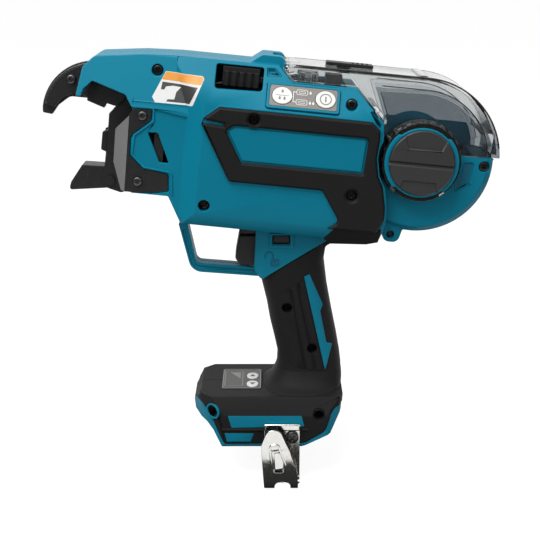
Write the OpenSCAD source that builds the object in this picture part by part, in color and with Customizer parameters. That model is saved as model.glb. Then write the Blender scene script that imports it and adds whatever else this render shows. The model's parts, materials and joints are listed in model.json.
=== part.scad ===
// Cordless rebar tying tool. Millimetres.
// The frame sits on the battery seat under the foot: X runs to the rear, Y to the right hand, Z up.
// The barrel has its own frame, tilted nose up, whose long axis runs through the reel's axis.

/* [Barrel] */
// Tilt of the barrel against the foot
barrel_tilt = 5.6; // [4:0.1:7]
// Height of the barrel axis above the battery seat at the origin
axis_height = 191; // [189:0.5:194]
// Half width over the flat barrel sides
barrel_half = 36; // [35:0.25:38]
// Half width where the sloped shoulder meets the roof
roof_half = 25; // [24.5:0.25:26]
// Height of the shoulder's lower edge above the barrel axis
shoulder_low = 22.5; // [20:0.5:24]
// Height of the shoulder's upper edge above the barrel axis
shoulder_high = 40.5; // [39.5:0.25:41.5]
// Height of the roof above the barrel axis
roof_top = 49.2; // [48.5:0.1:50]
// Half width of the flat of the roof
ridge_half = 20; // [19:0.5:21]
// Depth of the barrel floor below its axis
barrel_floor = 55; // [54:0.5:57]
// Half width of the nose sides
nose_half = 29; // [28.5:0.25:30]
// Wall of the moulded shells
wall = 2.4; // [2:0.1:2.8]

/* [Bumper] */
// Thickness of the elastomer frame on the barrel side
bumper_thick = 2.4; // [1.6:0.1:3]
// Height of the plain side panel inside the frame
panel_proud = 1.2; // [0.6:0.1:1.5]

/* [Reel] */
// Distance of the reel axis behind the origin along the barrel
reel_p = 94.4; // [93.5:0.1:95.5]
// Outer radius of the reel case
case_r = 47; // [46:0.25:48]
// Half width of the reel case
case_half = 25; // [24:0.25:25.5]
// Outer radius of the cover's round end
cover_r = 51; // [50.5:0.1:51.5]
// Half width of the cover's rim
cover_half = 22; // [21.5:0.25:22.5]
// Wall of the reel case and cover
case_wall = 2; // [1.6:0.1:2.4]
// Height of the parting line between case and cover above the barrel axis
case_split = 5; // [4:0.25:6]
// Radius of the knurled reel knob
knob_r = 26; // [25:0.25:26.5]
// Height of the knob over the case
knob_high = 10; // [8:0.5:12]
// Number of grip flutes round the knob
knob_flutes = 24; // [18:1:30]
// Radius of the knob's axle
axle_r = 6; // [5:0.25:7]
// Radius of the turning hub
hub_r = 14; // [12:0.5:16]
// Radius of the lanyard hole
lanyard_r = 2.5; // [2:0.1:3]

/* [Twist drive] */
// Depth of the twist axis below the barrel axis
twist_drop = 15; // [14:0.25:16]
// Gear module of the planetary stage
gear_module = 0.8; // [0.78:0.01:0.82]
// Teeth of the sun pinion
sun_teeth = 12; // [12:3:12]
// Teeth of each planet
planet_teeth = 15; // [15:3:15]
// Radius of the stator
stator_r = 23; // [22:0.25:23.5]
// Length of the stator
stator_long = 28; // [25:1:29]
// Radius of the twist spindle
spindle_r = 6; // [5:0.25:7]
// Radius of the motor shaft
shaft_r = 3; // [2.5:0.1:3.2]

/* [Feed] */
// Gear module of the feed gears
feed_module = 0.75; // [0.73:0.01:0.76]
// Teeth of each feed gear
feed_teeth = 16; // [16:1:16]
// Height of the wire path above the barrel axis
wire_q = 42.5; // [42.2:0.1:42.8]
// Radius of the feed motor
feed_motor_r = 10; // [8:0.5:11]
// Radius of the bore in the wire tube
wire_bore = 1.2; // [0.8:0.1:1.5]

/* [Handle and foot] */
// Half width of the handle core
core_half = 11; // [10:0.25:11.5]
// Half width of the teal block at the top of the handle
head_half = 17.5; // [16.5:0.25:18.5]
// Half width of the trigger guard
guard_half = 6.5; // [5:0.25:8]
// Half width of the trigger
trigger_half = 7.2; // [6:0.2:8]
// Travel of the trigger
trigger_travel = 6; // [4:0.5:7]
// Height of the foot's top over the battery seat
foot_top = 24; // [23:0.25:25]
// Depth of the foot's rim under the battery seat
rim_drop = 9; // [8:0.25:10]
// Half width of the foot
foot_half = 37.5; // [37:0.25:38.5]
// Thickness of the foot's overmould
cover_thick = 1.8; // [1.2:0.1:2.2]
// Half width of the battery channel between the rail walls
channel_half = 29; // [28:0.25:29.5]
// Half width between the rail lips
lip_half = 24.5; // [24:0.25:26]
// Length of the battery seat
seat_long = 50; // [40:1:56]
// Half width of the battery seat
seat_half = 20; // [16:0.5:23]

/* [Hook] */
// Sheet thickness of the belt hook
hook_thick = 1.6; // [1.2:0.1:2]
// Clear gap between the hook's two leaves
hook_gap = 9.4; // [8:0.2:12]
// Radius of the tapped bore in the hook inserts
insert_bore = 1.65; // [1.5:0.05:1.9]

/* [Fits] */
// Clearance of a shaft in its bore, on the radius
run_gap = 0.05; // [0.02:0.01:0.08]
// Clearance between fixed pieces set in each other
seat_gap = 0.15; // [0.1:0.01:0.2]
// Clearance round pieces that move
move_gap = 0.5; // [0.4:0.05:0.6]

/* [Hidden] */
$fn = 48;
teal = "#16809b";
black = "#2b2b2c";
steel = "#9a9a9a";
dark = "#3a3a3c";
white = "#eeeeea";

// One corner replaced by an arc; a point's third value is its radius
function unit(v) = v / norm(v);
function turn(d) = d > 180 ? d - 360 : d < -180 ? d + 360 : d;
function arc(c, r, a0, a1, n) = [for (i = [0:n]) let (a = a0 + (a1 - a0) * i / n) c + r * [cos(a), sin(a)]];
function corner(a, p, b, r, n) =
    let (u = unit(a - p), v = unit(b - p), half = acos(max(-1, min(1, u * v))) / 2,
         c = p + unit(u + v) * r / sin(half), s = p + u * r / tan(half) - c, e = p + v * r / tan(half) - c,
         a0 = atan2(s[1], s[0]))
    arc(c, r, a0, a0 + turn(atan2(e[1], e[0]) - a0), n);
function xy(p) = [p[0], p[1]];
function rounded(pts, n = 4) =
    let (k = len(pts))
    [for (i = [0:k - 1]) let (p = pts[i])
        each p[2] == undef || p[2] == 0 ? [xy(p)]
            : corner(xy(pts[(i + k - 1) % k]), xy(p), xy(pts[(i + 1) % k]), p[2], n)];

// Every edge of a plain outline moved inward by d
function area2(p, i = 0, s = 0) =
    i == len(p) ? s : area2(p, i + 1, s + p[i][0] * p[(i + 1) % len(p)][1] - p[(i + 1) % len(p)][0] *
        p[i][1]);
function left_of(e) = [-e[1], e[0]] / norm(e);
function inset(p, d) =
    let (k = len(p), g = d * sign(area2(p)))
    [for (i = [0:k - 1])
        let (a = left_of(xy(p[i]) - xy(p[(i + k - 1) % k])), b = left_of(xy(p[(i + 1) % k]) - xy(p[i])))
        xy(p[i]) + g * (a + b) / (1 + a * b)];

// Outline of a spur gear with a tooth on the first axis; slack thins each tooth
function inv_deg(rb, r) = let (a = acos(min(1, rb / r))) tan(a) * 180 / PI - a;
function tooth_half(m, z, r, slack) =
    let (rp = m * z / 2, rb = rp * cos(20))
    90 / z + inv_deg(rb, rp) - inv_deg(rb, max(r, rb)) - slack / rp * 90 / PI;
function gear(m, z, up, down, slack) =
    let (rp = m * z / 2, r0 = rp - down, r1 = rp + up, n = 4)
    [for (k = [0:z - 1]) each concat(
        [for (i = [0:n]) let (r = r0 + (r1 - r0) * i / n, a = 360 * k / z - tooth_half(m, z, r, slack))
            r * [cos(a), sin(a)]],
        [for (i = [n:-1:0]) let (r = r0 + (r1 - r0) * i / n, a = 360 * k / z + tooth_half(m, z, r, slack))
            r * [cos(a), sin(a)]])];

// Prisms: across Y from the middle to the left, along X, and up Z
module side_prism(pts, w, y0 = 0) translate([0, -y0, 0]) rotate([90, 0, 0]) linear_extrude(w) polygon(pts);
module both_prism(pts, w) side_prism(pts, 2 * w, -w);
module cross_prism(pts, x0, x1) translate([x0, 0, 0]) rotate([90, 0,
    90]) linear_extrude(x1 - x0) polygon(pts);
module bar(x, y, z) translate([x[0], y[0], z[0]]) cube([x[1] - x[0], y[1] - y[0], z[1] - z[0]]);
module rod_y(p, r, y0, y1) translate([p[0], y1, p[1]]) rotate([90, 0, 0]) cylinder(r = r, h = y1 - y0);
module rod_x(q, r, x0, x1, y = 0) translate([x0, y, q]) rotate([0, 90, 0]) cylinder(r = r, h = x1 - x0);
module rod_z(p, r, z0, z1) translate([p[0], p[1], z0]) cylinder(r = r, h = z1 - z0);
module in_barrel() translate([0, 0, axis_height]) rotate([0, barrel_tilt, 0]) translate([reel_p - drum_p,
    0, 0])
    children();
module at_reel() translate([drum_p, 0, 0]) children();
module to_right() mirror([0, 1, 0]) children();
module both_sides() { children(); to_right() children(); }

// Barrel outlines in the barrel frame, whose reel axis lies at drum_p
drum_p = 94.4;
shoulder_angle = atan2(shoulder_high - shoulder_low, barrel_half - roof_half);
shoulder_long = norm([shoulder_high - shoulder_low, barrel_half - roof_half]);
module on_shoulder() translate([0, -barrel_half, shoulder_low]) rotate([shoulder_angle, 0, 0]) children();
twist_q = -twist_drop;
bay_r = case_r + seat_gap * 2;
bay_half = case_half + seat_gap * 2;
rear_r = knob_r + 1.3;
pin_p = 1.5;
pin_q = roof_top + 0.3;
pin_r = 1.5;

beak_edge = [[-122.5, 19.5], [-119.8, 37], [-113.5, roof_top - 5], [-84, roof_top - 1.2], [-63, roof_top],
             [-36, roof_top], [-36, 10], [-75, 16], [-87.5, 16], [-92, 23], [-113, 29.3], [-118, 24],
                 [-119.5, 19.5]];
beak_room = [[-118, 31], [-113.5, roof_top - 5], [-84, roof_top - 1.2], [-63, roof_top], [-36, roof_top],
    [-36, 10],
             [-75, 16], [-87.5, 16], [-92, 23], [-113, 29.3]];
beak_radii = [0.6, 0, 7, 20, 20, 0, 0, 0, 1.5, 2, 1, 0, 0.6];
beak_line = [for (i = [0:len(beak_edge) - 1]) concat(beak_edge[i], beak_radii[i])];
beak_cut = [[0, 0], [-nose_half - 0.6, 0], [-nose_half - 0.6, 16], [-ridge_half - 0.5, roof_top - 1.7],
            [-ridge_half + 3, roof_top + 3], [0, roof_top + 3]];
chin_line = [[-87, 20], [-87, -38], [-61, -38], [-52, 0.5 - barrel_floor], [-36, 0.5 - barrel_floor],
    [-36, 20]];
barrel_line = concat(
    [[-57, -40], [-57, 4], [-62, 12], [-62, roof_top], [1.2, roof_top], [9.5, shoulder_high],
     [50, shoulder_high], [68.5, shoulder_low - 1], [rear_r * cos(156) + drum_p, rear_r * sin(156)]],
    arc([drum_p, 0], rear_r, 162, 222, 8),
    [[76.5, -30], [77, -40], [74.5, 1.5 - barrel_floor], [67, -1 - barrel_floor], [45, -3 - barrel_floor],
     [38, -barrel_floor], [-50, 0.5 - barrel_floor]]);
barrel_cut = [[0, -70], [-27, -70], [-27, -4 - barrel_floor], [-barrel_half, 9 - barrel_floor],
              [-barrel_half, shoulder_low], [-roof_half, shoulder_high], [-ridge_half, roof_top],
              [0, roof_top]];
barrel_plan = [[-62, 10], [-62, 6.3 - nose_half], [-43, -barrel_half - 0.01], [100, -barrel_half - 0.01],
               [100, 10]];
hump_line = rounded([[-18, 40], [-17, roof_top], [-10, roof_top + 5.3, 2], [pin_p + 1, roof_top + 5.3, 4],
                     [pin_p + 4.4, roof_top + 1, 2], [pin_p + 4.4, 40]]);
hump_half = 17;
knuckle_half = 8;

// Plates and marks on the barrel side
bumper_line = rounded([[-33, 23 - 0.4], [-42, 15], [-43, 11.5, 2], [-23.5, -23, 3], [35, -23, 3], [47.6,
    -42, 3],
    [40, -barrel_floor + 8], [72, -barrel_floor + 8, 3], [75.5, -38, 3], [75, -30, 0], [72, -17], [68.5, -11],
    [66.2, 0], [66.8, 12, 0], [66.4, 17.5, 2], [61, 22, 2]]);
window_line = rounded([[-28, 8.5, 1.5], [-23, 12, 1.5], [58, 12, 1.5], [60, 10.3, 1], [59, -10.5, 1.5],
    [-17, -10.5, 2]]);
side_panel = inset([[-28, 8.5], [-23, 12], [58, 12], [60, 10.3], [59, -10.5], [-17, -10.5]], 1.2);
notch_line = [[-50, 16.2], [-41, 13.6], [-29, 12.6], [-29, 10.8], [-42, 11.2], [-50, 13]];
feed_window = rounded([[-37.5, 32.5, 2], [-37.5, 47, 1.5], [-8, 47, 1.5], [-8, 33.2, 2]]);

// Screws: position in side view, depth of the head seat, far end of the shank
barrel_screws = [[-73.6, 39.4, 18.5, 10], [-37.7, -40.3, 29, 10], [47.7, 30.7, 27, 10], [-11.5, 16.7, 31,
    10]];
case_screw = [drum_p + 41.2, -0.6, case_half - 3.4, 10];
pod_screw = [53.6, -24.6, 31.5, -bay_half - wall - 0.4];
foot_screws = [[11.2, 81.4, core_half, 8], [27.9, 53.1, core_half, 8], [-37.5, 15, 26, 10], [32.2, 14,
    30, 10]];
shank_r = 1.5;
head_r = 3.2;
boss_r = 4.4;
module boss(s) rod_y(s, boss_r, -60, 0);
module well(s) {
    rod_y(s, head_r + 0.4, -60, -s[2]);
    rod_y(s, shank_r + seat_gap, -s[2] - 1, 1);
}
module nut_hole(s) rod_y(s, shank_r + run_gap, -s[3] - seat_gap, 1);
module screw(s) difference() {
    union() {
        rod_y(s, head_r, -s[2] - 2.6, -s[2]);
        rod_y(s, shank_r, -s[2] - 0.1, s[3]);
    }
    rod_y(s, 1.6, -s[2] - 5, -s[2] - 1, $fn = 6);
}

// Handle: front and rear of the grip at each level, with the half width
grip_base = foot_top + 0.4;
grip_rows = [[grip_base, -3, grip_base, 48.2, 20], [31, 2, 31, 48.4, 18], [39, 4.6, 39, 48, 17], [47, 5,
    47, 47, 16.6],
             [58, 2.6, 60, 44.7, 16.8], [70, -0.2, 77, 41.2, 17.2], [82, -2.2, 95, 37.8, 17.4],
             [92, -4.6, 112, 35.7, 17.5], [100, -6.5, 127.4, 38, 17.5]];
function bulge(c, k) = sign(c) * pow(abs(c), k);
function grip_ring(s, n) = [for (i = [0:n])
    let (a = 180 * i / n, f = (1 - bulge(cos(a), 0.75)) / 2)
    [s[1] + (s[3] - s[1]) * f, -s[4] * bulge(sin(a), 0.75), s[0] + (s[2] - s[0]) * f]];
module loft(rings) {
    n = len(rings[0]);
    m = len(rings);
    polyhedron(
        points = [for (r = rings) each r],
        faces = concat(
            [for (k = [0:m - 2]) for (i = [0:n - 1]) let (a = k * n + i, b = k * n + (i + 1) % n) [a, b,
                b + n]],
            [for (k = [0:m - 2]) for (i = [0:n - 1]) let (a = k * n + i, b = k * n + (i + 1) % n) [a,
                b + n, a + n]],
            [[for (i = [n - 1:-1:0]) i]], [[for (i = [0:n - 1]) (m - 1) * n + i]]));
}
core_line = concat(
    [[3, foot_top - 5]], [for (s = grip_rows) [s[1] + 5, s[0]]], [[-1.5, 112], [-1.5, 137], [38, 137]],
    [for (i = [len(grip_rows) - 2:-1:0]) let (s = grip_rows[i]) [s[3] - 5, s[2]]], [[43, foot_top - 5]]);
head_edge = [[-9, 137, 0], [-10.5, 108, 3], [-6, 100.6, 2], [38.2, 128.2, 0], [42, 137, 0]];
head_line = rounded(head_edge);
head_plan = [[-20, 10], [-20, -head_half + 6], [-4, -head_half], [60, -head_half], [60, 10]];
guard_line = rounded([[-60, 136], [-52, 103.4, 9], [-7, 100], [-9, 106.2], [-48.4, 109.4, 4.5], [-54,
    136]], 6);
lock_box = [[1.9, 12.7], [125.2, 130.4]];
slot_z = [106.2, 129.2];

// Foot
foot_edge = [[-46, foot_top], [-51, foot_top - 7], [-50, 10], [-42, 5.5], [-37.5, 1], [-32, -rim_drop],
             [21, -rim_drop], [40, 0.5], [47, 15], [48.2, foot_top]];
foot_cut = [[20, -rim_drop], [20, foot_top], [-31, foot_top], [-foot_half, foot_top - 10.5], [-foot_half,
    1.5 - rim_drop],
            [1.5 - foot_half, -rim_drop]];
foot_plan = [[-52, 10], [-52, -11], [-46, -24], [-36, -34], [-30, -foot_half], [38, -foot_half], [46,
    -31], [49, -20], [49, 10]];
sleeve_line = rounded([[-60, foot_top + 5], [-60, 20], [-46, 19.5, 3], [-38, 9, 4], [-30.5,
    2.5 - rim_drop, 3],
                       [23, 3.2 - rim_drop, 6], [36.5, 2.5, 8], [41.5, 18, 5], [60, 20], [60, foot_top + 5]]);
display_x = [-31.5, -6];
display_half = 15.5;
shoe_top = 3;
module foot_body(d) intersection() {
    side_prism(inset(foot_edge, d), foot_half + 2);
    cross_prism(inset(foot_cut, d), -60, 60);
    translate([0, 0, -20]) linear_extrude(60) polygon(inset(foot_plan, d));
}
module display_pocket(d) bar([display_x[0] - d, display_x[1] + d], [-display_half - d, display_half + d],
    [foot_top - 3 - d, foot_top + 5]);
insert_at = [14.7, -0.4];
insert_r = 3;
insert_hole = 2.4;
insert_long = 5.6;
insert_y = foot_half - cover_thick - 0.1;
hook_y = foot_half + 0.6;

// Half of the housing, drawn for the left
module barrel_half_solid(d) intersection() {
    side_prism(inset(barrel_line, d), barrel_half + 1);
    cross_prism(inset(concat([[20, -70]], [for (i = [1:len(barrel_cut) - 2]) barrel_cut[i]], [[20,
        roof_top]]), d), -70, 90);
    translate([0, 0, -80]) linear_extrude(160) polygon(inset(barrel_plan, d));
}
module beak_half(d) intersection() {
    side_prism(d == 0 ? rounded(beak_line) : inset(beak_room, d), nose_half + 2);
    cross_prism(inset([[20, 0], beak_cut[1], beak_cut[2], beak_cut[3], beak_cut[4], [20, roof_top + 3]],
        d), -130, -20);
}
module chin_half(d) side_prism(inset(chin_line, d), nose_half - d);
nose_in = nose_half - wall;
bearing_room = 14.7;
motor_end = drum_p - bay_r - wall - bearing_room;
motor_p = [motor_end - stator_long, motor_end];
rib_p = [[motor_p[0] - 18, motor_p[0] - 15], [motor_p[0] + 4, motor_p[0] + 7], [motor_p[1] - 7,
    motor_p[1] - 4]];
bearing_p = motor_p[1] + 9;
bearing_r = 8;
ring_r = gear_module * (sun_teeth + 2 * planet_teeth) / 2 + 5;
module barrel_skin(d) {
    barrel_half_solid(d);
    beak_half(d);
    chin_half(d);
}
module barrel_cavity() difference() {
    union() {
        barrel_skin(wall);
        bar([-84, -48], [wall + 3 - nose_half, 0], [6, 30]);
    }
    at_reel() rod_y([0, 0], bay_r + wall, -bay_half - wall, 1);
}
module barrel_ribs(on_left) intersection() {
    union() {
        for (p = rib_p) bar(p, [-barrel_half + 1, 0], [-barrel_floor + 1, twist_q + 18]);
        bar([bearing_p, bearing_p + 8], [-14, 0], [twist_q - 14, twist_q + 14]);
        for (s = barrel_screws) boss(s);
        if (on_left) rod_y(pod_screw, boss_r, -barrel_half + 1, -bay_half - wall + 1);
    }
    union() {
        barrel_half_solid(wall / 2);
        beak_half(wall / 2);
    }
}
module barrel_cuts(on_left) {
    at_reel() rod_y([0, 0], bay_r, -bay_half, 1);
    rod_x(twist_q, stator_r + seat_gap, rib_p[1][0] - 1, motor_p[1] + 1);
    rod_x(twist_q, ring_r + seat_gap, motor_p[0] - 32, motor_p[0]);
    rod_x(twist_q, bearing_r + seat_gap, bearing_p - 1, bearing_p + 4 + seat_gap);
    for (s = barrel_screws) if (on_left) well(s); else nut_hole(s);
    if (on_left) {
        rod_y(pod_screw, head_r + 0.4, -60, -pod_screw[2]);
        rod_y(pod_screw, shank_r + seat_gap, -60, pod_screw[3]);
        side_prism(feed_window, 40, 15.8);
        on_shoulder() panel_pocket();
    }
    bar([pin_p - 4.6, pin_p + 9], [-knuckle_half - move_gap, 1], [36, 60]);
    rod_y([pin_p, pin_q], pin_r + run_gap, -hump_half + 2, 1);
    bar([-20, 60], [-feed_half - seat_gap, 1], [feed_q - seat_gap, feed_q + 2 + seat_gap]);
    bar([9.6, 44], [wall - roof_half, 1], [feed_q, 60]);
    bar([5, 10], [-19, 1], [feed_q, feed_q + 5.4]);
    nose_recess(seat_gap);
    for (s = screw_plate) rod_y(s, 1.6 + seat_gap, -60, plate_thick + 1.6 - nose_half);
    jaw_gap();
}
module barrel_part(on_left) in_barrel() difference() {
    union() {
        difference() {
            union() {
                barrel_skin(0);
                side_prism(hump_line, hump_half);
            }
            barrel_cavity();
        }
        barrel_ribs(on_left);
        side_prism(side_panel, panel_proud + 1, barrel_half - 1);
    }
    barrel_cuts(on_left);
}
module handle_skin() {
    foot_body(0);
    side_prism(core_line, core_half);
    intersection() {
        side_prism(head_line, head_half);
        translate([0, 0, 80]) linear_extrude(80) polygon(head_plan);
    }
    side_prism(guard_line, guard_half);
}
module sleeve_zone() difference() {
    side_prism(sleeve_line, 80, -1);
    foot_body(cover_thick);
    side_prism(core_line, core_half, -0.01);
    bar([-60, 60], [-80, 1], [28, 200]);
}
module handle_cavity() difference() {
    union() {
        intersection() {
            foot_body(cover_thick + wall);
            bar([-60, 60], [-60, 5], [shoe_top, 60]);
        }
        side_prism(inset(core_line, wall), core_half - wall + 1, -1);
        intersection() {
            side_prism(inset(head_edge, wall), head_half - wall + 1, -1);
            translate([0, 0, 80]) linear_extrude(80) polygon(inset(head_plan, wall));
        }
    }
    for (s = foot_screws) boss(s);
}
module handle_cuts(on_left) {
    in_barrel() barrel_half_solid(wall);
    in_barrel() chin_half(wall);
    bar([-60, 38], [-channel_half, 1], [-rim_drop - 1, 0.5]);
    bar([-34, 38 + seat_gap], [-channel_half, 1], [0, shoe_top + seat_gap]);
    bar([-14, 4], [-trigger_half - move_gap, 1], slot_z);
    bar([lock_box[0][0] - 0.3, lock_box[0][1] + 0.3], [-40, 1], [lock_box[1][0] - 0.3, lock_box[1][1] + 0.3]);
    for (s = foot_screws) if (on_left) well(s); else nut_hole(s);
    display_pocket(seat_gap);
    nut_slot();
    bar([-4.5, 20.5], [-60, -hook_y + 1.6], [6.6, 8.6]);
}
// Seat of the hook's square nut, open to below
module nut_slot() bar([insert_at[0] - insert_r - seat_gap, insert_at[0] + insert_r + seat_gap],
    [-60, -insert_y + insert_long + seat_gap], [-40, insert_at[1] + insert_r + seat_gap]);
module handle_part(on_left) {
    difference() {
        handle_skin();
        sleeve_zone();
        handle_cavity();
        handle_cuts(on_left);
    }
    bar([-34, 21], [-channel_half - 0.5, -lip_half], [-rim_drop, 2.8 - rim_drop]);
}
module half_shell(on_left) {
    barrel_part(on_left);
    handle_part(on_left);
}
module left_housing() color(teal) half_shell(true);
module right_housing() color(teal) to_right() half_shell(false);

// Overmoulds
module bumper() in_barrel() difference() {
    side_prism(bumper_line, bumper_thick, barrel_half);
    side_prism(window_line, 20, barrel_half - 5);
    side_prism(notch_line, 20, barrel_half - 5);
    rod_y([-11.5, 16.7], head_r + 0.5, -60, 0);
    rod_y(pod_screw, head_r + 0.5, -60, 0);
}
module left_bumper() color(black) bumper();
module right_bumper() color(black) to_right() bumper();
module grip(on_left) difference() {
    loft([for (s = grip_rows) grip_ring(s, 14)]);
    side_prism(inset(core_line, -seat_gap), core_half + seat_gap + 1, -1);
    if (on_left) for (i = [0, 1]) rod_y(foot_screws[i], head_r + 0.6, -60, 0);
}
module left_grip() color(black) grip(true);
module right_grip() color(black) to_right() grip(false);
module foot_sleeve(on_left) difference() {
    intersection() {
        foot_body(-0.4);
        side_prism(sleeve_line, 80);
    }
    foot_body(cover_thick);
    side_prism(inset(core_line, -seat_gap), core_half + seat_gap + 1, -1);
    display_pocket(0.4);
    if (on_left) for (i = [2, 3]) rod_y(foot_screws[i], head_r + 0.6, -60, 0);
    rod_y(insert_at, insert_hole, -60, 0);
    bar([-4.5, 20.5], [-60, 0], [6.6, 8.6]);
}
module left_foot_cover() color(black) foot_sleeve(true);
module right_foot_cover() color(black) to_right() foot_sleeve(false);
module housing_screws() color(dark) {
    in_barrel() for (s = concat(barrel_screws, [pod_screw, case_screw])) screw(s);
    for (s = foot_screws) screw(s);
    in_barrel() both_sides() for (s = screw_plate) plate_screw(s);
}

// Reel drum
lug_at = [82.5 - drum_p, 4.5 - barrel_floor];
module case_solid(r, h, c) rotate([90, 0, 0]) rotate_extrude($fn = 96)
    polygon([[0, -1], [r, -1], [r, h - c], [r - c, h], [0, h]]);
module case_half_left() in_barrel() at_reel() difference() {
    union() {
        difference() {
            union() {
                difference() {
                    case_solid(case_r, case_half, 4);
                    bar([-90, 90], [-90, 90], [case_split - move_gap / 2, 90]);
                }
                intersection() {
                    rod_y([0, 0], 13, -case_half, -case_half + case_wall);
                    bar([-90, 90], [-90, 90], [0, 90]);
                }
                side_prism(rounded([[lug_at[0] - 5, lug_at[1] - 5, 4.5],
                                    [lug_at[0] + 5.5, lug_at[1] - 5, 4.5], [-4.5, 1 - case_r],
                                    [-4.5, 5 - case_r], [-15, 5 - case_r], [lug_at[0] - 5, 2.8 - case_r]], 6),
                           case_half - 3);
            }
            case_solid(case_r - case_wall, case_half - case_wall, 3);
        }
        bar([35, 45.6], [-case_half + 1, 0], [-6, case_split - move_gap / 2 - 0.2]);
    }
    bar([-90, 90], [0, 5], [-90, 90]);
    rod_y([0, 0], axle_r + run_gap, -90, 90);
    rod_y(lug_at, lanyard_r, -90, 90);
    translate([-drum_p, 0, 0]) rod_y(case_screw, shank_r + run_gap, -90, 90);
    translate([-drum_p, 0, 0]) rod_y(case_screw, head_r + 0.2, -90, -case_screw[2]);
}
module reel_case_left() color(teal) case_half_left();
module reel_case_right() color(teal) to_right() case_half_left();
cover_top = roof_top + 1.8;
latch_p = [31, 60];
latch_travel = 5;
latch_high = 1.3;
tab_line = rounded([[drum_p + 40, 24], [drum_p + 46, 22, 2], [drum_p + 50, 12, 2], [drum_p + 46.5, 7.5,
    1.5], [drum_p + 40, 8]]);
cover_line = concat(
    [[-0.5 + move_gap, cover_top], [9.5 + 2 * move_gap, shoulder_high + move_gap], [50 + move_gap,
        shoulder_high + move_gap],
     [69, shoulder_low - 1 + move_gap], [69, case_split]],
    [[drum_p + sqrt(cover_r * cover_r - case_split * case_split), case_split]],
    arc([drum_p, 0], cover_r, asin(case_split / cover_r) + 4, 90, 16), [[latch_p[1] + 8, cover_top]]);
bulge_line = concat(
    [[69, shoulder_low + 3], [69, case_split], [drum_p + cover_r - 8.6, case_split]],
    arc([drum_p, 0], cover_r - 8, 12, 90, 10), [[62, cover_r - 9]]);
module cover_hollow(line, w) both_prism(inset(line, case_wall), w - case_wall);
module reel_cover() color("#8d9396", 0.55) in_barrel() difference() {
    union() {
        difference() {
            union() {
                both_prism(cover_line, cover_half);
                both_prism(bulge_line, case_half);
                both_prism(tab_line, 9);
            }
            cover_hollow(cover_line, cover_half);
            cover_hollow(bulge_line, case_half);
            bar([3, 70], [-cover_half + case_wall, cover_half - case_wall], [30, shoulder_high + 6.5]);
            bar([60, drum_p + cover_r - 3 * case_wall], [-case_half + case_wall, case_half - case_wall],
                [0, 20]);
        }
        bar([pin_p + 1, pin_p + 12], [-knuckle_half, knuckle_half], [pin_q - 2, cover_top]);
        rod_y([pin_p, pin_q], pin_r + 2, -knuckle_half, knuckle_half);
        bar([drum_p - 7, drum_p - 1], [-cover_half + 2, cover_half - 2], [cover_r - 1.5, cover_r + 0.8]);
    }
    rod_y([pin_p, pin_q], pin_r + run_gap, -hump_half, hump_half);
    for (y = [-1, 1]) bar([-5, pin_p + 5.6],
        [y > 0 ? knuckle_half : -hump_half - move_gap, y > 0 ? hump_half + move_gap : -knuckle_half],
            [30, 60]);
    bar([-5, pin_p - pin_r - 2], [-30, 30], [30, 60]);
    both_sides() bar([-5, pin_p + 2.2], [-40, -hump_half], [30, 60]);
    at_reel() rod_y([0, 0], 22, -60, 60);
    bar([latch_p[0] + 8 - seat_gap, latch_p[0] + 14 + latch_travel + seat_gap], [-3.2, 3.2],
        [cover_top - 5, cover_top + 5]);
}
module cover_latch() color(black) in_barrel() {
    cross_prism([[-5.5, cover_top + 0.1], [5.5, cover_top + 0.1], [4.8, cover_top + latch_high],
                 [-4.8, cover_top + latch_high]], latch_p[0], latch_p[1]);
    bar([latch_p[0] + 8, latch_p[0] + 14], [-3, 3], [cover_top - case_wall - 1.6, cover_top + 0.5]);
    bar([latch_p[0] + 7, latch_p[0] + 15], [-5, 5], [cover_top - case_wall - 1.6,
        cover_top - case_wall - 0.1]);
}
module cover_pin() color(steel) in_barrel() rod_y([pin_p, pin_q], pin_r, -hump_half + 2.2, hump_half - 2.2);

// Reel knob, hub and axle
knob_back = case_half + move_gap;
module reel_knob() color(black) in_barrel() at_reel() difference() {
    union() {
        rotate([90, 0, 0]) rotate_extrude($fn = 96) polygon(
            [[0, knob_back], [knob_r, knob_back], [knob_r, knob_back + knob_high - 3],
             [knob_r - 2.4, knob_back + knob_high], [0, knob_back + knob_high]]);
        rod_y([0, 0], axle_r, -knob_back - 1, case_half - 0.4);
    }
    for (i = [1:knob_flutes]) rotate([0, 360 * i / knob_flutes, 0])
        rod_y([knob_r + 0.9, 0], 1.9, -60, -knob_back - 1.5, $fn = 24);
    rod_y([0, 0], ring_out, -60, -knob_back - knob_high + 3);
}
ring_out = knob_r - 3.4;
cap_out = ring_out - 2.2;
module knob_ring() color(teal) in_barrel() at_reel() rotate([90, 0, 0]) rotate_extrude($fn = 96) polygon(
    [[cap_out + seat_gap, knob_back + knob_high - 3], [ring_out - seat_gap, knob_back + knob_high - 3],
     [ring_out - seat_gap, knob_back + knob_high + 1], [ring_out - 0.9, knob_back + knob_high + 1.8],
     [cap_out + seat_gap, knob_back + knob_high + 1.8]]);
module knob_cap() color(black) in_barrel() at_reel() difference() {
    rotate([90, 0, 0]) rotate_extrude($fn = 96) polygon(
        [[0, knob_back + knob_high - 3], [cap_out, knob_back + knob_high - 3], [cap_out,
            knob_back + knob_high + 3],
         [cap_out - 1, knob_back + knob_high + 4], [0, knob_back + knob_high + 4]]);
    for (s = [-1, 1]) side_prism([[-13, s * 5], [-10, s * 15], [10, s * 15], [13, s * 5]], 30,
        knob_back + knob_high + 1.4);
    bar([-cap_out + 3, cap_out - 3], [-60, -knob_back - knob_high - 2.6], [-1.6, 1.6]);
}
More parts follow.
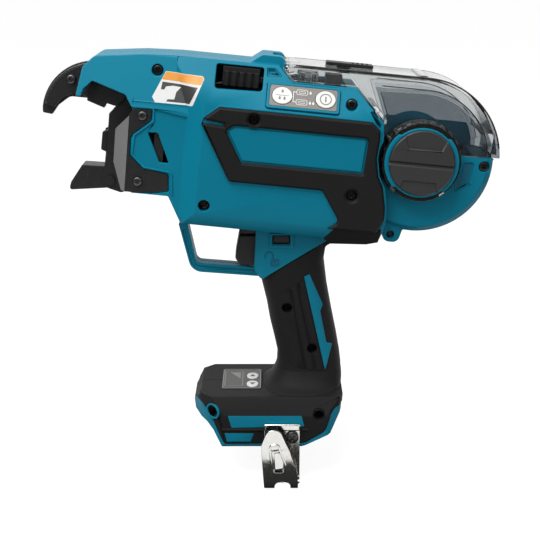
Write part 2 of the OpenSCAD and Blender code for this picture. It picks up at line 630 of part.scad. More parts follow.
module reel_hub() color(dark) in_barrel() at_reel() difference() {
    union() {
        rod_y([0, 0], hub_r, -case_half + case_wall + 3, case_half - case_wall - 1);
        rod_y([0, 0], axle_r + 4, -case_half + case_wall + move_gap, case_half - case_wall - move_gap);
    }
    rod_y([0, 0], axle_r + run_gap, -60, 60);
    for (i = [0:2]) rotate([0, 120 * i, 0]) bar([hub_r - 2, hub_r + 2], [-case_half + 8, case_half - 6],
        [-2, 2]);
}

// Control panel on the shoulder
panel_p = [-5, 40];
panel_s = [2.2, shoulder_long - 1.6];
panel_mid = (panel_s[0] + panel_s[1]) / 2;
key_p = [4.4, 31.2];
key_long = 6.2;
key_high = 5.6;
key_travel = 0.5;
module slab(x, y, z, r) translate([0, 0, z[0]]) linear_extrude(z[1] - z[0]) polygon(rounded(
    [[x[0], y[0], r], [x[1], y[0], r], [x[1], y[1], r], [x[0], y[1], r]]));
module key_plug(i, d, z0, z1) translate([key_p[i], panel_mid, z0]) linear_extrude(z1 - z0) scale([1,
    key_high / key_long])
    circle(r = key_long + d, $fn = 40);
module panel_pocket() slab([panel_p[0] - seat_gap, panel_p[1] + seat_gap], [panel_s[0] - seat_gap,
    panel_s[1] + seat_gap],
    [-1.2, 10], 1.5);
module control_panel() color(teal) in_barrel() on_shoulder() difference() {
    slab(panel_p, panel_s, [-1.2, 1.4], 1.5);
    slab([panel_p[0] + 1.6, panel_p[1] - 1.6], [panel_s[0] + 1.6, panel_s[1] - 1.6], [0.6, 5], 1);
    for (i = [0, 1]) key_plug(i, 0.4, -0.6, 5);
}
module panel_label() color("#8c8782") in_barrel() on_shoulder() difference() {
    slab([panel_p[0] + 1.6 + seat_gap, panel_p[1] - 1.6 - seat_gap],
        [panel_s[0] + 1.6 + seat_gap, panel_s[1] - 1.6 - seat_gap], [0.6, 1.2], 1);
    for (i = [0, 1]) key_plug(i, 0.3, -5, 5);
}
module key(i) color(white) in_barrel() on_shoulder() key_plug(i, 0, 0, 1.9);
module power_button() key(1);
module mode_button() key(0);

// Nose
frame_line = rounded([[-72, 26], [-90, 24], [-99, 13], [-103.2, 8, 2], [-103.2, -20, 3], [-105, -31, 4],
                      [-102.5, -40, 4], [-92, -42.5, 3], [-84, -37], [-72, -36]]);
frame_y = [8.6, 11.6];
spindle_p = [-82, -20];
module jaw_gap() {
    bar([-140, -78], [-20.5, 1], [-60, 20.6]);
    bar([-140, -60], [-frame_y[1] - seat_gap * 2, 1], [-60, 29]);
    bar([-140, -103], [-5.4, 1], [10, 39.4]);
}
module nose_frame() color(dark) in_barrel() difference() {
    union() {
        both_sides() side_prism(frame_line, frame_y[1] - frame_y[0], frame_y[0]);
        bar([-72.5, -66], [-nose_in + seat_gap, nose_in - seat_gap], [-38 + wall + seat_gap, 13]);
        bar([-103, -97], [-frame_y[0] - 1, -4], [-26, 6]);
        bar([-103, -97], [4, frame_y[0] + 1], [-26, 6]);
    }
    rod_x(twist_q, spindle_r + run_gap, -80, -60);
    for (c = curl_pin_at) rod_y(c, 2 + run_gap, -60, 60);
    rod_y(hinge_at, 2 + run_gap, -60, 60);
    rod_y(cutter_at, 2 + run_gap, -60, 60);
}
curl_pin_at = [[-83, 21.5], [-92, 17.5]];
rivet_at = [-129, 26.5];
curl_c = [-113, 5];
curl_line = rounded(concat(
    arc(curl_c, 34, 177, 97, 14),
    [[-112, 37.5], [-104, 29.5, 2], [-80, 25, 1], [-80, 17, 1], [-96, 14, 2], [-119, 15, 3], [-129.6, 15, 5],
     [-137, 8.5, 6], [-140.5, 2.4, 1], [-146.6, 3, 1]]));
module curl_guide() color(dark) in_barrel() difference() {
    both_prism(curl_line, 2);
    for (c = concat(curl_pin_at, [rivet_at])) rod_y(c, 2 + run_gap, -60, 60);
}
cheek_line = rounded(concat(
    arc(curl_c, 33, 172, 100, 12),
    [[-112, 36], [-104, 28.5, 2], [-80, 25, 1], [-80, 17, 1], [-96, 14, 2], [-119, 16, 3], [-126, 18, 3],
     [-134, 14, 3], [-139.5, 7]]));
module curl_cheeks() color(dark) in_barrel() both_sides() difference() {
    side_prism(cheek_line, 2.4, 2 + seat_gap);
    for (c = concat(curl_pin_at, [rivet_at])) rod_y(c, 2 + run_gap, -60, 60);
}
module nose_pins() color(steel) in_barrel() {
    for (c = curl_pin_at) rod_y(c, 2, -frame_y[1] - 0.6, frame_y[1] + 0.6);
    rod_y(rivet_at, 2, -5.2, 5.2);
    both_sides() rod_y(rivet_at, 3, -6, -4.7);
    rod_y(hinge_at, 2, -frame_y[1] - 1.4, frame_y[1] + 1.4);
    both_sides() rod_y(hinge_at, 3, -frame_y[1] - 1.6, -frame_y[1] - 0.1);
}
jaw_line = [[-113.4, 27.2], [-117, 20], [-117, 15.2], [-106, 11.6], [-104.5, 14.6], [-99, 13.4], [-94,
    18], [-93.2, 19.4],
            [-93.2, 22.4]];
module jaw_cover() color(black) in_barrel() both_sides() {
    side_prism(jaw_line, 1.6, 13);
    side_prism([[-117, 15.2], [-106, 11.6], [-106, 13.2], [-117, 16.8]], 9, 5.2);
    bar([-97, -93.6], [-14, -frame_y[1] - seat_gap], [19.2, 20.8]);
}
bend_p = -88.6;
plate_line = [[-86, 15.2], [-75, 15.4], [-75, 9.2], [-84.9, 0.1], [-87, -2.6], [-87, -14], [-78.4, -22],
    [-63.2, -23.8],
              [-62, -25], [-61.3, -34.4], [-70.4, -36.4], [bend_p, -37.6], [bend_p, 11.5]];
plate_thick = 1.5;
screw_plate = [[-80.4, 11.4], [-80.6, -30.2]];
module nose_recess(d) side_prism(inset(plate_line, -0.5 - d), 10, nose_half - plate_thick - d);
flange_p = bend_p - 9;
flange_plan = [[bend_p + 0.7, -nose_half], [bend_p, -nose_half], [flange_p, 9 - nose_half], [flange_p,
    -frame_y[1] - seat_gap],
               [flange_p + plate_thick, -frame_y[1] - seat_gap], [flange_p + plate_thick, 9.6 - nose_half],
               [bend_p + 0.7, plate_thick - nose_half - 0.1]];
flange_line = [[bend_p + 2, 11.3], [bend_p + 0.6, 11.3], [flange_p - 1, -1], [flange_p - 1, -18.5],
    [bend_p - 2.4, -37.4],
               [bend_p + 2, -37.4]];
module flange() intersection() {
    translate([0, 0, -50]) linear_extrude(80) polygon(flange_plan);
    side_prism(flange_line, 60);
}
module nose_plate() in_barrel() difference() {
    union() {
        side_prism(plate_line, plate_thick, nose_half - plate_thick);
        flange();
    }
    for (s = screw_plate) rod_y(s, 1.6 + seat_gap, -60, 0);
}
module left_nose_plate() color(black) nose_plate();
module right_nose_plate() color(black) to_right() nose_plate();
module plate_screw(s) difference() {
    union() {
        rod_y(s, 3.2, -nose_half - 1.6, -nose_half - 0.02);
        rod_y(s, 1.6, -nose_half - 0.1, -nose_half + plate_thick + 1.2);
    }
    rod_y(s, 1.5, -60, -nose_half - 0.6, $fn = 6);
}
module contact_pads() color(dark) in_barrel() both_sides()
    side_prism(rounded([[-103.35, -3], [-107, -4.5, 1], [-107.3, -16, 1], [-103.35, -17.5]]), 4.6, 4.4);
hinge_at = [-99.5, -35];
lower_half = 7.6;
lower_line = rounded([[-119, -27.5, 1.5], [-104, -27, 2], [-94, -30, 3], [-93.6, -37.5, 3], [-99, -40.6, 2],
                      [-126.4, -44.7, 1.5], [-125.5, -39.4, 1]]);
module lower_guide() color(dark) in_barrel() difference() {
    both_prism(lower_line, lower_half);
    bar([-140, -106], [-1.4, 1.4], [-60, -34]);
    rod_y(hinge_at, 2 + run_gap, -60, 60);
}
cutter_at = [-88, 8];
module cutter_blade() color(steel) in_barrel() difference() {
    union() {
        rod_y(cutter_at, 3.6, -1.6, 1.6);
        bar([-94, -88], [-1.6, 1.6], [6, 10]);
        bar([-88, -78], [-1.6, 1.6], [4.6, 8]);
        rod_y(cutter_at, 2, -frame_y[1] - 0.4, frame_y[1] + 0.4);
    }
    bar([-95, -92], [-2, 0.4], [0, 20]);
}

// Twist drive along the barrel
sun_pitch = gear_module * sun_teeth / 2;
planet_pitch = gear_module * planet_teeth / 2;
ring_teeth = sun_teeth + 2 * planet_teeth;
ring_pitch = gear_module * ring_teeth / 2;
planet_arm = sun_pitch + planet_pitch;
tooth_up = 0.8 * gear_module;
tooth_down = 1.1 * gear_module;
slack = 0.14;
gear_p = [motor_p[0] - 17, motor_p[0] - 7];
planet_pin = 2.4;
module on_twist() in_barrel() translate([0, 0, twist_q]) children();
module ring_gear() color(dark) on_twist() difference() {
    rod_x(0, ring_r, gear_p[0] - 1, motor_p[0] - 0.2);
    cross_prism(gear(gear_module, ring_teeth, tooth_down, 0.62 * gear_module, -slack), gear_p[0] - 2,
        gear_p[1] + 0.5);
    rod_x(0, shaft_r + 1.2, -50, 50);
    rod_x(0, bearing_r, gear_p[1] + 2, 50);
}
module motor_stator() color("#b07a3c") on_twist() difference() {
    rod_x(0, stator_r, motor_p[0], motor_p[1]);
    rod_x(0, 13.4, motor_p[0] - 1, motor_p[1] + 1);
    for (i = [0:5]) rotate([60 * i, 0, 0]) bar([motor_p[0] - 1, motor_p[1] + 1], [-2.2, 2.2], [12, 19.5]);
}
module motor_rotor() color(steel) on_twist() {
    rod_x(0, 13, motor_p[0] + 0.5, motor_p[1] - 0.5);
    rod_x(0, shaft_r, gear_p[0] + 0.4, bearing_p + 4);
    cross_prism(gear(gear_module, sun_teeth, tooth_up, tooth_down, slack), gear_p[0] + 0.6, gear_p[1]);
}
module motor_fan() color(black) on_twist() difference() {
    union() {
        rod_x(0, shaft_r + 3, motor_p[1] + 1, motor_p[1] + 7.6);
        rod_x(0, stator_r - 3, motor_p[1] + 1, motor_p[1] + 2.4);
        for (i = [0:10]) rotate([360 / 11 * i, 0, 0]) bar([motor_p[1] + 2, motor_p[1] + 7], [-0.6, 0.6],
            [shaft_r + 2, stator_r - 3.2]);
    }
    rod_x(0, shaft_r, -50, 90);
}
module motor_bearings() color(steel) on_twist() for (p = [gear_p[1] + 2, bearing_p]) difference() {
    rod_x(0, bearing_r - (p == bearing_p ? 0 : seat_gap), p, p + 4);
    rod_x(0, shaft_r + run_gap, -60, 90);
}
module planet(i) color(steel) on_twist() rotate([120 * i, 0, 0]) translate([0, planet_arm, 0]) difference() {
    cross_prism(gear(gear_module, planet_teeth, tooth_up, tooth_down, slack), gear_p[0] + 1, gear_p[1] - 0.5);
    rod_x(0, planet_pin + run_gap, -60, 60);
}
module planet_gear_1() planet(0);
module planet_gear_2() planet(1);
module planet_gear_3() planet(2);
module twist_spindle() color(steel) on_twist() {
    rod_x(0, ring_pitch - 1.2, gear_p[0] - 4, gear_p[0] + 0.2);
    rod_x(0, spindle_r, spindle_p[0], gear_p[0] - 3.5);
    for (i = [0:2]) rotate([120 * i, 0, 0]) rod_x(0, planet_pin, gear_p[0] - 1, gear_p[1] - 0.5, planet_arm);
}
module twist_hooks() color(steel) on_twist() {
    rod_x(0, spindle_r + 1, spindle_p[0] - 4, spindle_p[0]);
    for (i = [-1, 1]) bar([spindle_p[0] - 14, spindle_p[0] - 3], [i * 4.6 - 1.2, i * 4.6 + 1.2], [-2.4, 2.4]);
    for (i = [-1, 1]) bar([spindle_p[0] - 14, spindle_p[0] - 11.6], [i > 0 ? 2 : -4.6, i > 0 ? 4.6 : -2],
        [-2.4, 2.4]);
}

// Wire feed under the cover
feed_q = 34.4;
feed_half = roof_half - 1.6;
feed_pitch = feed_module * feed_teeth / 2;
feed_p = 20;
gear_q = [wire_q - 2.6, wire_q + 2.6];
lever_at = [-1, -13];
lever_r = 1.8;
module feed_base() color(steel) in_barrel() difference() {
    union() {
        bar([-6, 42.4], [-feed_half, feed_half], [feed_q, feed_q + 2]);
        rod_z(lever_at, lever_r, feed_q, feed_q + 6.2);
        bar([4.6, 7.6], [-4, 4], [feed_q, wire_q + 3]);
    }
    rod_z([feed_p, feed_pitch], 4, 0, 90);
    tube_leg(tube_r + run_gap, 1);
}
module feed_motor() color(dark) in_barrel() difference() {
    union() {
        rod_z([feed_p, feed_pitch], feed_motor_r, twist_q + stator_r + 3, feed_q - seat_gap);
        rod_z([feed_p, feed_pitch], 4 - seat_gap, feed_q - 1, feed_q + 2.6);
    }
    rod_z([feed_p, feed_pitch], 2 + run_gap, feed_q - 8, 90);
}
module feed_gear_body() difference() {
    linear_extrude(gear_q[1] - gear_q[0]) polygon(gear(feed_module, feed_teeth, 0.8 * feed_module,
        1.1 * feed_module, slack));
    translate([0, 0, 2.6]) rotate_extrude() polygon([[feed_pitch - 0.5, 0], [feed_pitch + 2, -1.6],
        [feed_pitch + 2, 1.6]]);
}
module feed_drive_gear() color(steel) in_barrel() translate([feed_p, feed_pitch, 0]) {
    translate([0, 0, gear_q[0]]) rotate([0, 0, -90]) feed_gear_body();
    rod_z([0, 0], 2, feed_q - 7.6, gear_q[0] + 0.5);
}
module feed_idler_gear() color(steel) in_barrel() translate([feed_p, -feed_pitch, gear_q[0]]) difference() {
    rotate([0, 0, 90 + 180 / feed_teeth]) feed_gear_body();
    rod_z([0, 0], 2 + run_gap, -9, 19);
}
pad_p = [-33.4, -10.4];
pad_q = [34, 46];
pad_y = [-23, -17.6];
module feed_lever() color(black) in_barrel() difference() {
    union() {
        translate([0, 0, feed_q + 2.4]) linear_extrude(2.4) polygon([[-31, -20.6], [-31, -17.6], [-10,
            -17.6], [-7, -8.6],
            [feed_p - 2, -feed_pitch + 3], [feed_p + 3, -feed_pitch + 2.4], [feed_p + 3,
                -feed_pitch - 2.4], [3, -17], [-8, -20.6]]);
        rod_z([feed_p, -feed_pitch], 2, feed_q + 3, gear_q[1] + 0.2);
        bar(pad_p, [pad_y[0] + 1.6, pad_y[1]], pad_q);
        for (i = [0:4]) bar([pad_p[0] + 1.2 + 4.7 * i, pad_p[0] + 4 + 4.7 * i], pad_y, [pad_q[0],
            pad_q[1] - 3]);
        bar([pad_p[0], pad_p[1]], [pad_y[0] + 0.8, pad_y[1]], [pad_q[1] - 3.6, pad_q[1]]);
    }
    rod_z(lever_at, lever_r + run_gap, 0, 90);
}
module wire_inlet() color(black) in_barrel() difference() {
    bar([31, 41.6], [-6, 6], [feed_q + 2.02, wire_q + 3]);
    rod_x(wire_q, wire_bore + 0.6, 0, 90);
    translate([38, 0, wire_q]) rotate([0, 90, 0]) cylinder(r1 = wire_bore + 0.4, r2 = 4, h = 5);
}
tube_r = 2.2;
tube_start = [12, wire_q];
tube_end = [-79, 23];
tube_fall = atan2(tube_start[1] - tube_end[1], tube_start[0] - tube_end[0]);
module tube_leg(r, over) translate([tube_start[0], 0, tube_start[1]]) rotate([0, -90 - tube_fall, 0])
    translate([0, 0, -over]) cylinder(r = r, h = norm(tube_start - tube_end) + 2 * over);
module wire_tube() color(steel) in_barrel() difference() {
    tube_leg(tube_r, 0);
    tube_leg(wire_bore, 1);
}

// Handle and foot pieces
trigger_rear = lock_box[0][0] - trigger_travel - move_gap;
trigger_line = rounded([[-20.7, 128.4, 1], [-22.6, 118, 4], [-23, 112.5, 2], [-20, 108.2, 2],
    [trigger_rear, 107],
    [trigger_rear, 128.4]]);
module trigger() color(black) both_prism(trigger_line, trigger_half);
module trigger_lock() color(black) bar(lock_box[0], [-head_half + 1.6, head_half + 2.4], lock_box[1]);
module switch_unit() color(black) {
    bar([trigger_travel - 2.4, 24], [-core_half + wall + seat_gap, core_half - wall - seat_gap], [103, 122]);
}
module battery_shoe() color(black) {
    bar([-33.8, 38], [-channel_half + seat_gap, channel_half - seat_gap], [0.6, shoe_top]);
    bar([-seat_long / 2, seat_long / 2], [-seat_half, seat_half], [0, 1]);
    for (y = [-12, 12]) bar([29, 36], [y - 2, y + 2], [-5, 1]);
}
module controller() color("#5d6468") bar([-31, 6], [-24, 24], [shoe_top + 0.1, 14]);
module foot_panel() color(black) difference() {
    bar(display_x, [-display_half, display_half], [foot_top - 3, foot_top - 0.8]);
    bar([display_x[0] + 1.4, display_x[0] + 13.4], [-display_half + 2, display_half - 2],
        [foot_top - 1.4, foot_top]);
    for (y = foot_key_y) foot_key(y, 0.3, foot_top - 2.4, foot_top);
}
foot_key_y = [-9, 6];
module foot_key(y, d, z0, z1) translate([display_x[0] + 19.6, y, z0]) linear_extrude(z1 - z0) scale([0.72, 1])
    circle(r = 5.6 + d, $fn = 40);
module plus_button() color(white) foot_key(foot_key_y[1], 0, foot_top - 1.8, foot_top - 0.2);
module minus_button() color(white) foot_key(foot_key_y[0], 0, foot_top - 1.8, foot_top - 0.2);

// Belt hook and its inserts
hook_low = -34;
bend_in = hook_gap / 2;
bend_y = -hook_y - hook_thick - bend_in;
hook_path = concat(
    [[-hook_y, 8.2], [-hook_y - hook_thick, 8.2]],
    [for (p = arc([bend_y, hook_low + bend_in + hook_thick], bend_in, 0, -180, 10)) p],
    [[bend_y - bend_in, 4], [bend_y - bend_in - 2, 9], [bend_y - bend_in - 2 - hook_thick, 9],
        [bend_y - bend_in - hook_thick, 4]],
    [for (p = arc([bend_y, hook_low + bend_in + hook_thick], bend_in + hook_thick, -180, 0, 10)) p]);
leaf_line = rounded([[-3.4, -40], [-5.9, -2, 7], [-1.6, 8.8, 5], [6.4, 8.8, 5], [13.2, -6.7, 4],
                     [18.4, -24, 4], [18.4, -40]]);
module belt_hook() color("#c9c9c6") {
    difference() {
        union() {
            intersection() {
                cross_prism(hook_path, -30, 40);
                union() {
                    side_prism(leaf_line, 20, hook_y + hook_thick + 2);
                    bar([-3.7, 19.6], [-hook_y - hook_thick - 2.01, 0], [-60, 20]);
                }
            }
            bar([-3.7, 19.6], [-hook_y - hook_thick, -hook_y + 1.5], [6.8, 8.2]);
        }
        rod_y(insert_at, 2 + seat_gap, -60, 0);
        side_prism(rounded([[3, -60], [3, -27, 4], [13.5, -27, 4], [13.5, -60]]), 30,
            hook_y + hook_thick + 1);
    }
    side_prism(rounded([[1.2, -21, 3], [-1, -1, 3], [5.6, 0.4, 3], [10.6, -15, 3], [10.2, -21, 3]]), 1.4,
        -bend_y + bend_in + hook_thick - 0.4);
}
module hook_screw() color(steel) difference() {
    union() {
        rod_y(insert_at, 4.2, -hook_y - hook_thick - 2.4, -hook_y - hook_thick - 0.02);
        rod_y(insert_at, insert_bore - run_gap, -hook_y - hook_thick - 0.5, -insert_y + insert_long - 1);
    }
    rod_y(insert_at, 1.8, -70, -hook_y - hook_thick - 1, $fn = 6);
}
module hook_inserts() color("#b99a4a") both_sides() difference() {
    bar([insert_at[0] - insert_r, insert_at[0] + insert_r], [-insert_y, -insert_y + insert_long],
        [insert_at[1] - insert_r, insert_at[1] + insert_r]);
    rod_y(insert_at, insert_bore, -70, 0);
}

left_housing();
right_housing();
left_bumper();
right_bumper();
left_grip();
right_grip();
left_foot_cover();
right_foot_cover();
housing_screws();
reel_case_left();
reel_case_right();
reel_cover();
cover_latch();
cover_pin();
reel_knob();
knob_ring();
knob_cap();
reel_hub();
control_panel();
panel_label();
power_button();
mode_button();
nose_frame();
curl_guide();
curl_cheeks();
nose_pins();
jaw_cover();
left_nose_plate();
right_nose_plate();
contact_pads();
lower_guide();
cutter_blade();
ring_gear();
motor_stator();
motor_rotor();
motor_fan();
motor_bearings();
planet_gear_1();
planet_gear_2();
planet_gear_3();
twist_spindle();
twist_hooks();
feed_base();
feed_motor();
feed_drive_gear();
feed_idler_gear();
feed_lever();
wire_inlet();
wire_tube();
trigger();
trigger_lock();
switch_unit();
battery_shoe();
controller();
foot_panel();
plus_button();
minus_button();
belt_hook();
hook_screw();
hook_inserts();
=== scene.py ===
import json
import math

import bpy
from mathutils import Matrix, Vector

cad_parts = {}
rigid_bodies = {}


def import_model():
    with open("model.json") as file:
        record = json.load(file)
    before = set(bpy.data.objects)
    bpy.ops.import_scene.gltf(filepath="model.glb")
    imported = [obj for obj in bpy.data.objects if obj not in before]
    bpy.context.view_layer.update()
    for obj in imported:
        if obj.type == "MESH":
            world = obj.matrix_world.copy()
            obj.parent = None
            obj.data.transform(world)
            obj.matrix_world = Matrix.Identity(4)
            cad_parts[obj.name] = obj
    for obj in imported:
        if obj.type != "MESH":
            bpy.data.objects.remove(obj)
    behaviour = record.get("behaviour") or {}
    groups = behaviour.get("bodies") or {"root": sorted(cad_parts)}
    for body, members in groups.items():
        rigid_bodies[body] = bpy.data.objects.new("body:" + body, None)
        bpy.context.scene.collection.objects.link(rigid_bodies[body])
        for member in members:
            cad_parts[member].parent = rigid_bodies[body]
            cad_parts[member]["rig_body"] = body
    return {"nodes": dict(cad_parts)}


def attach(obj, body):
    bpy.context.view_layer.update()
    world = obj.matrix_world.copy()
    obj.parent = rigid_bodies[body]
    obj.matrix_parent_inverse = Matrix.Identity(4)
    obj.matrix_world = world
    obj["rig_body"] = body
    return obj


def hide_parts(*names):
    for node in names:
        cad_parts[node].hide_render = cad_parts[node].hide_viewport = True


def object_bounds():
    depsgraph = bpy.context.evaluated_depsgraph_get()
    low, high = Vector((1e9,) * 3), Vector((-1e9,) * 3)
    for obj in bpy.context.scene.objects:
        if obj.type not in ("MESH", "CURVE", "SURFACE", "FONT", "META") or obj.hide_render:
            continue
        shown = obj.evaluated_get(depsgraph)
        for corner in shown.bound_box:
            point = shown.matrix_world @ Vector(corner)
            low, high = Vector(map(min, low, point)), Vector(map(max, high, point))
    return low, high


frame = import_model()
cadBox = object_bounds()
nodes = frame["nodes"]
mm = 0.001
print("frame loaded,", len(nodes), "nodes")


def srgb(hexText):
    parts = [int(hexText[i:i + 2], 16) / 255 for i in (1, 3, 5)]
    return [c / 12.92 if c <= 0.04045 else ((c + 0.055) / 1.055) ** 2.4 for c in parts] + [1.0]


def addNode(tree, kind, settings={}, inputs={}):
    node = tree.nodes.new("ShaderNode" + kind)
    for name, value in settings.items():
        setattr(node, name, value)
    for name, value in inputs.items():
        if isinstance(value, bpy.types.NodeSocket):
            tree.links.new(value, node.inputs[name])
        else:
            node.inputs[name].default_value = value
    return node


def newMaterial(name):
    material = bpy.data.materials.new(name)
    material.use_nodes = True
    tree = material.node_tree
    tree.nodes.clear()
    shader = addNode(tree, "BsdfPrincipled")
    addNode(tree, "OutputMaterial", {}, {"Surface": shader.outputs["BSDF"]})
    return material, tree, shader


def noise(tree, place, sizeMm, detail):
    pattern = addNode(tree, "TexNoise", {}, {"Vector": place, "Scale": 1 / (sizeMm * mm), "Detail": detail})
    return pattern.outputs["Fac"]


def blend(tree, factor, first, second):
    return addNode(tree, "Mix", {"data_type": "RGBA"}, {0: factor, 6: first, 7: second}).outputs[2]


# what most plastics and most metals share; spread is how far the grain moves the roughness, sizes are in mm
plasticBase = {"driftMm": 25, "grainMm": 0.6, "depthMm": 0.01, "relief": 0.2, "roughness": 0.42,
               "spread": 0.06, "ior": 1.53, "specular": 0.5}
metalBase = {"grainMm": 0.8, "depthMm": 0.02, "stretch": (1, 1, 1), "relief": 0.2, "roughness": 0.3,
             "spread": 0.05, "metallic": 1.0}


def coat(tree, shader, tone, grain, finish):
    # one pattern drifts the colour, the other breaks up the gloss and the normal
    colour = blend(tree, tone, srgb(finish["colour"]), srgb(finish["drift"]))
    gloss = addNode(tree, "MapRange", {}, {"Value": grain, "From Min": 0.3, "From Max": 0.7,
                    "To Min": finish["roughness"] - finish["spread"],
                    "To Max": finish["roughness"] + finish["spread"]})
    relief = addNode(tree, "Bump", {}, {"Height": grain, "Strength": finish["relief"],
                     "Distance": finish["depthMm"] * mm})
    tree.links.new(colour, shader.inputs["Base Color"])
    tree.links.new(gloss.outputs["Result"], shader.inputs["Roughness"])
    tree.links.new(relief.outputs["Normal"], shader.inputs["Normal"])


def grainedPlastic(name, colour, drift, **changes):
    # a slow drift of colour and a fine moulded grain
    finish = {**plasticBase, "colour": colour, "drift": drift, **changes}
    material, tree, shader = newMaterial(name)
    place = addNode(tree, "TexCoord").outputs["Object"]
    tone = noise(tree, place, finish["driftMm"], 3.0)
    grain = noise(tree, place, finish["grainMm"], 2.0)
    coat(tree, shader, tone, grain, finish)
    shader.inputs["IOR"].default_value = finish["ior"]
    shader.inputs["Specular IOR Level"].default_value = finish["specular"]
    return material


def workedMetal(name, colour, drift, **changes):
    # fine marks from the tool or the bath that break up the reflection
    finish = {**metalBase, "colour": colour, "drift": drift, **changes}
    material, tree, shader = newMaterial(name)
    place = addNode(tree, "TexCoord").outputs["Object"]
    turn = addNode(tree, "Mapping", {}, {"Vector": place, "Scale": finish["stretch"]})
    marks = noise(tree, turn.outputs["Vector"], finish["grainMm"], 4.0)
    coat(tree, shader, marks, marks, finish)
    shader.inputs["Metallic"].default_value = finish["metallic"]
    return material


finishes = {}

# glass-filled nylon moulded in an eroded tool: even teal with a fine matt sparkle, grain drawn coarse
finishes["tealNylon"] = grainedPlastic(
    "glassFilledNylonTeal", "#007690", "#027e99", driftMm=45, grainMm=1.0, depthMm=0.05, relief=0.3,
    specular=0.16)
# thermoplastic elastomer moulded over the shell: soft, matt and slightly grey
finishes["elastomer"] = grainedPlastic(
    "elastomerOvermould", "#1b1b1b", "#1f1f1f", driftMm=30, grainMm=0.8, depthMm=0.06, relief=0.45,
    roughness=0.58, ior=1.5, specular=0.12)
# black nylon moulded in a polished tool: a little glossier and darker than the overmould
finishes["blackNylon"] = grainedPlastic(
    "blackNylonMoulded", "#151515", "#1a1a1a", grainMm=0.7, depthMm=0.04, relief=0.3, specular=0.3)
# the same nylon from a mirror polished tool: sharp small highlights on the knob's rim
finishes["glossNylon"] = grainedPlastic(
    "blackNylonPolished", "#191919", "#1f1f1f", grainMm=0.9, relief=0.1, roughness=0.22, specular=0.6)
# polyester film screen printed in warm grey: flat and silky
finishes["greyFilm"] = grainedPlastic(
    "polyesterFilmGrey", "#787470", "#7f7b77", driftMm=15, roughness=0.38, ior=1.55)
# moulded white ABS of the keys: bright with a soft gloss
finishes["whiteAbs"] = grainedPlastic(
    "absWhiteKeys", "#e9e9e6", "#e2e2df", driftMm=8, grainMm=0.5, roughness=0.35, ior=1.54)
# sheet steel with black oxide: dark grey with a low metallic sheen
finishes["blackSteel"] = workedMetal(
    "blackOxideSteel", "#222222", "#2c2c2c", grainMm=1.4, relief=0.25, roughness=0.42, metallic=0.4)
# ground steel: fine lines along the grinding
finishes["groundSteel"] = workedMetal(
    "groundSteel", "#a9a9a8", "#8f8f8e", grainMm=0.7, stretch=(0.15, 1, 1), roughness=0.32)
# black steel painted an even satin grey: painted highlight on the bent flanges and the curl arm's upper rim,
# where they face the light
finishes["greyPaintedHighlight"] = workedMetal(
    "satinGreyPaintedHighlight", "#8a8a8a", "#7c7c7c", grainMm=0.7, relief=0.3, roughness=0.5, metallic=0.3)
# glass filled nylon with a fine even grain: the satin grey face of the knob
finishes["capNylon"] = grainedPlastic(
    "nylonBlackSatin", "#262626", "#2b2b2b", driftMm=20, grainMm=0.5, depthMm=0.02, relief=0.25,
    roughness=0.5)
# teal nylon painted darker: painted shade on the floor of the sunk arrow and on the padlock sign
finishes["tealPaintedShade"] = grainedPlastic(
    "nylonTealPaintedShade", "#015c73", "#02637b", driftMm=30, relief=0.15, roughness=0.5, specular=0.3)
# teal nylon of the reel bay's far wall painted lighter than the shell: painted light, standing in for the
# light that the smoked cover keeps off the bay
finishes["tealPaintedLight"] = grainedPlastic(
    "nylonTealPaintedLight", "#0796b6", "#0a9bbb", driftMm=30, grainMm=0.5, depthMm=0.02, roughness=0.5,
    specular=0.16)
# phosphated and oiled steel of the sunk screws: dull black
finishes["phosphated"] = grainedPlastic(
    "phosphatedSteelOiled", "#0a0a0a", "#0e0e0e", driftMm=6, grainMm=0.4, depthMm=0.02, relief=0.3,
    roughness=0.62, ior=1.5, specular=0.08)
# black oxide steel painted grey with lighter patches: painted sheen on the button heads and painted highlight
# on the strip along the curl arm's rim
finishes["greyPaintedSheen"] = workedMetal("blackOxidePaintedSheen", "#4a4a4a", "#6a6a6a", relief=0.3, metallic=0.8)
# bright nickel plate on spring steel: near mirror with a faint warm tone
finishes["brightNickel"] = workedMetal(
    "brightNickelPlate", "#dcdbd7", "#d0cfcb", grainMm=3.0, relief=0.08, roughness=0.14)
# enamelled copper wire and laminations
finishes["copperWinding"] = workedMetal(
    "enamelledCopper", "#b0703a", "#8d5426", grainMm=0.9, stretch=(0.2, 1, 1), relief=0.4,
    roughness=0.35, metallic=0.9)
# drawn aluminium can
finishes["drawnAluminium"] = workedMetal(
    "drawnAluminium", "#a7aaab", "#989b9c", stretch=(1, 1, 0.2), relief=0.15, roughness=0.38)
# turned brass
finishes["turnedBrass"] = workedMetal("turnedBrass", "#c9a552", "#b08c3e", grainMm=0.6, stretch=(1, 0.2, 1))


# where the tint of the cover changes: axis, start and end of the change in mm, tone
smokeZones = (("Y", -22.3, -23.0, "near"), ("Y", 22.3, 23.0, "far"), ("X", 135, 140, "near"))
smokeWavesMm = 18


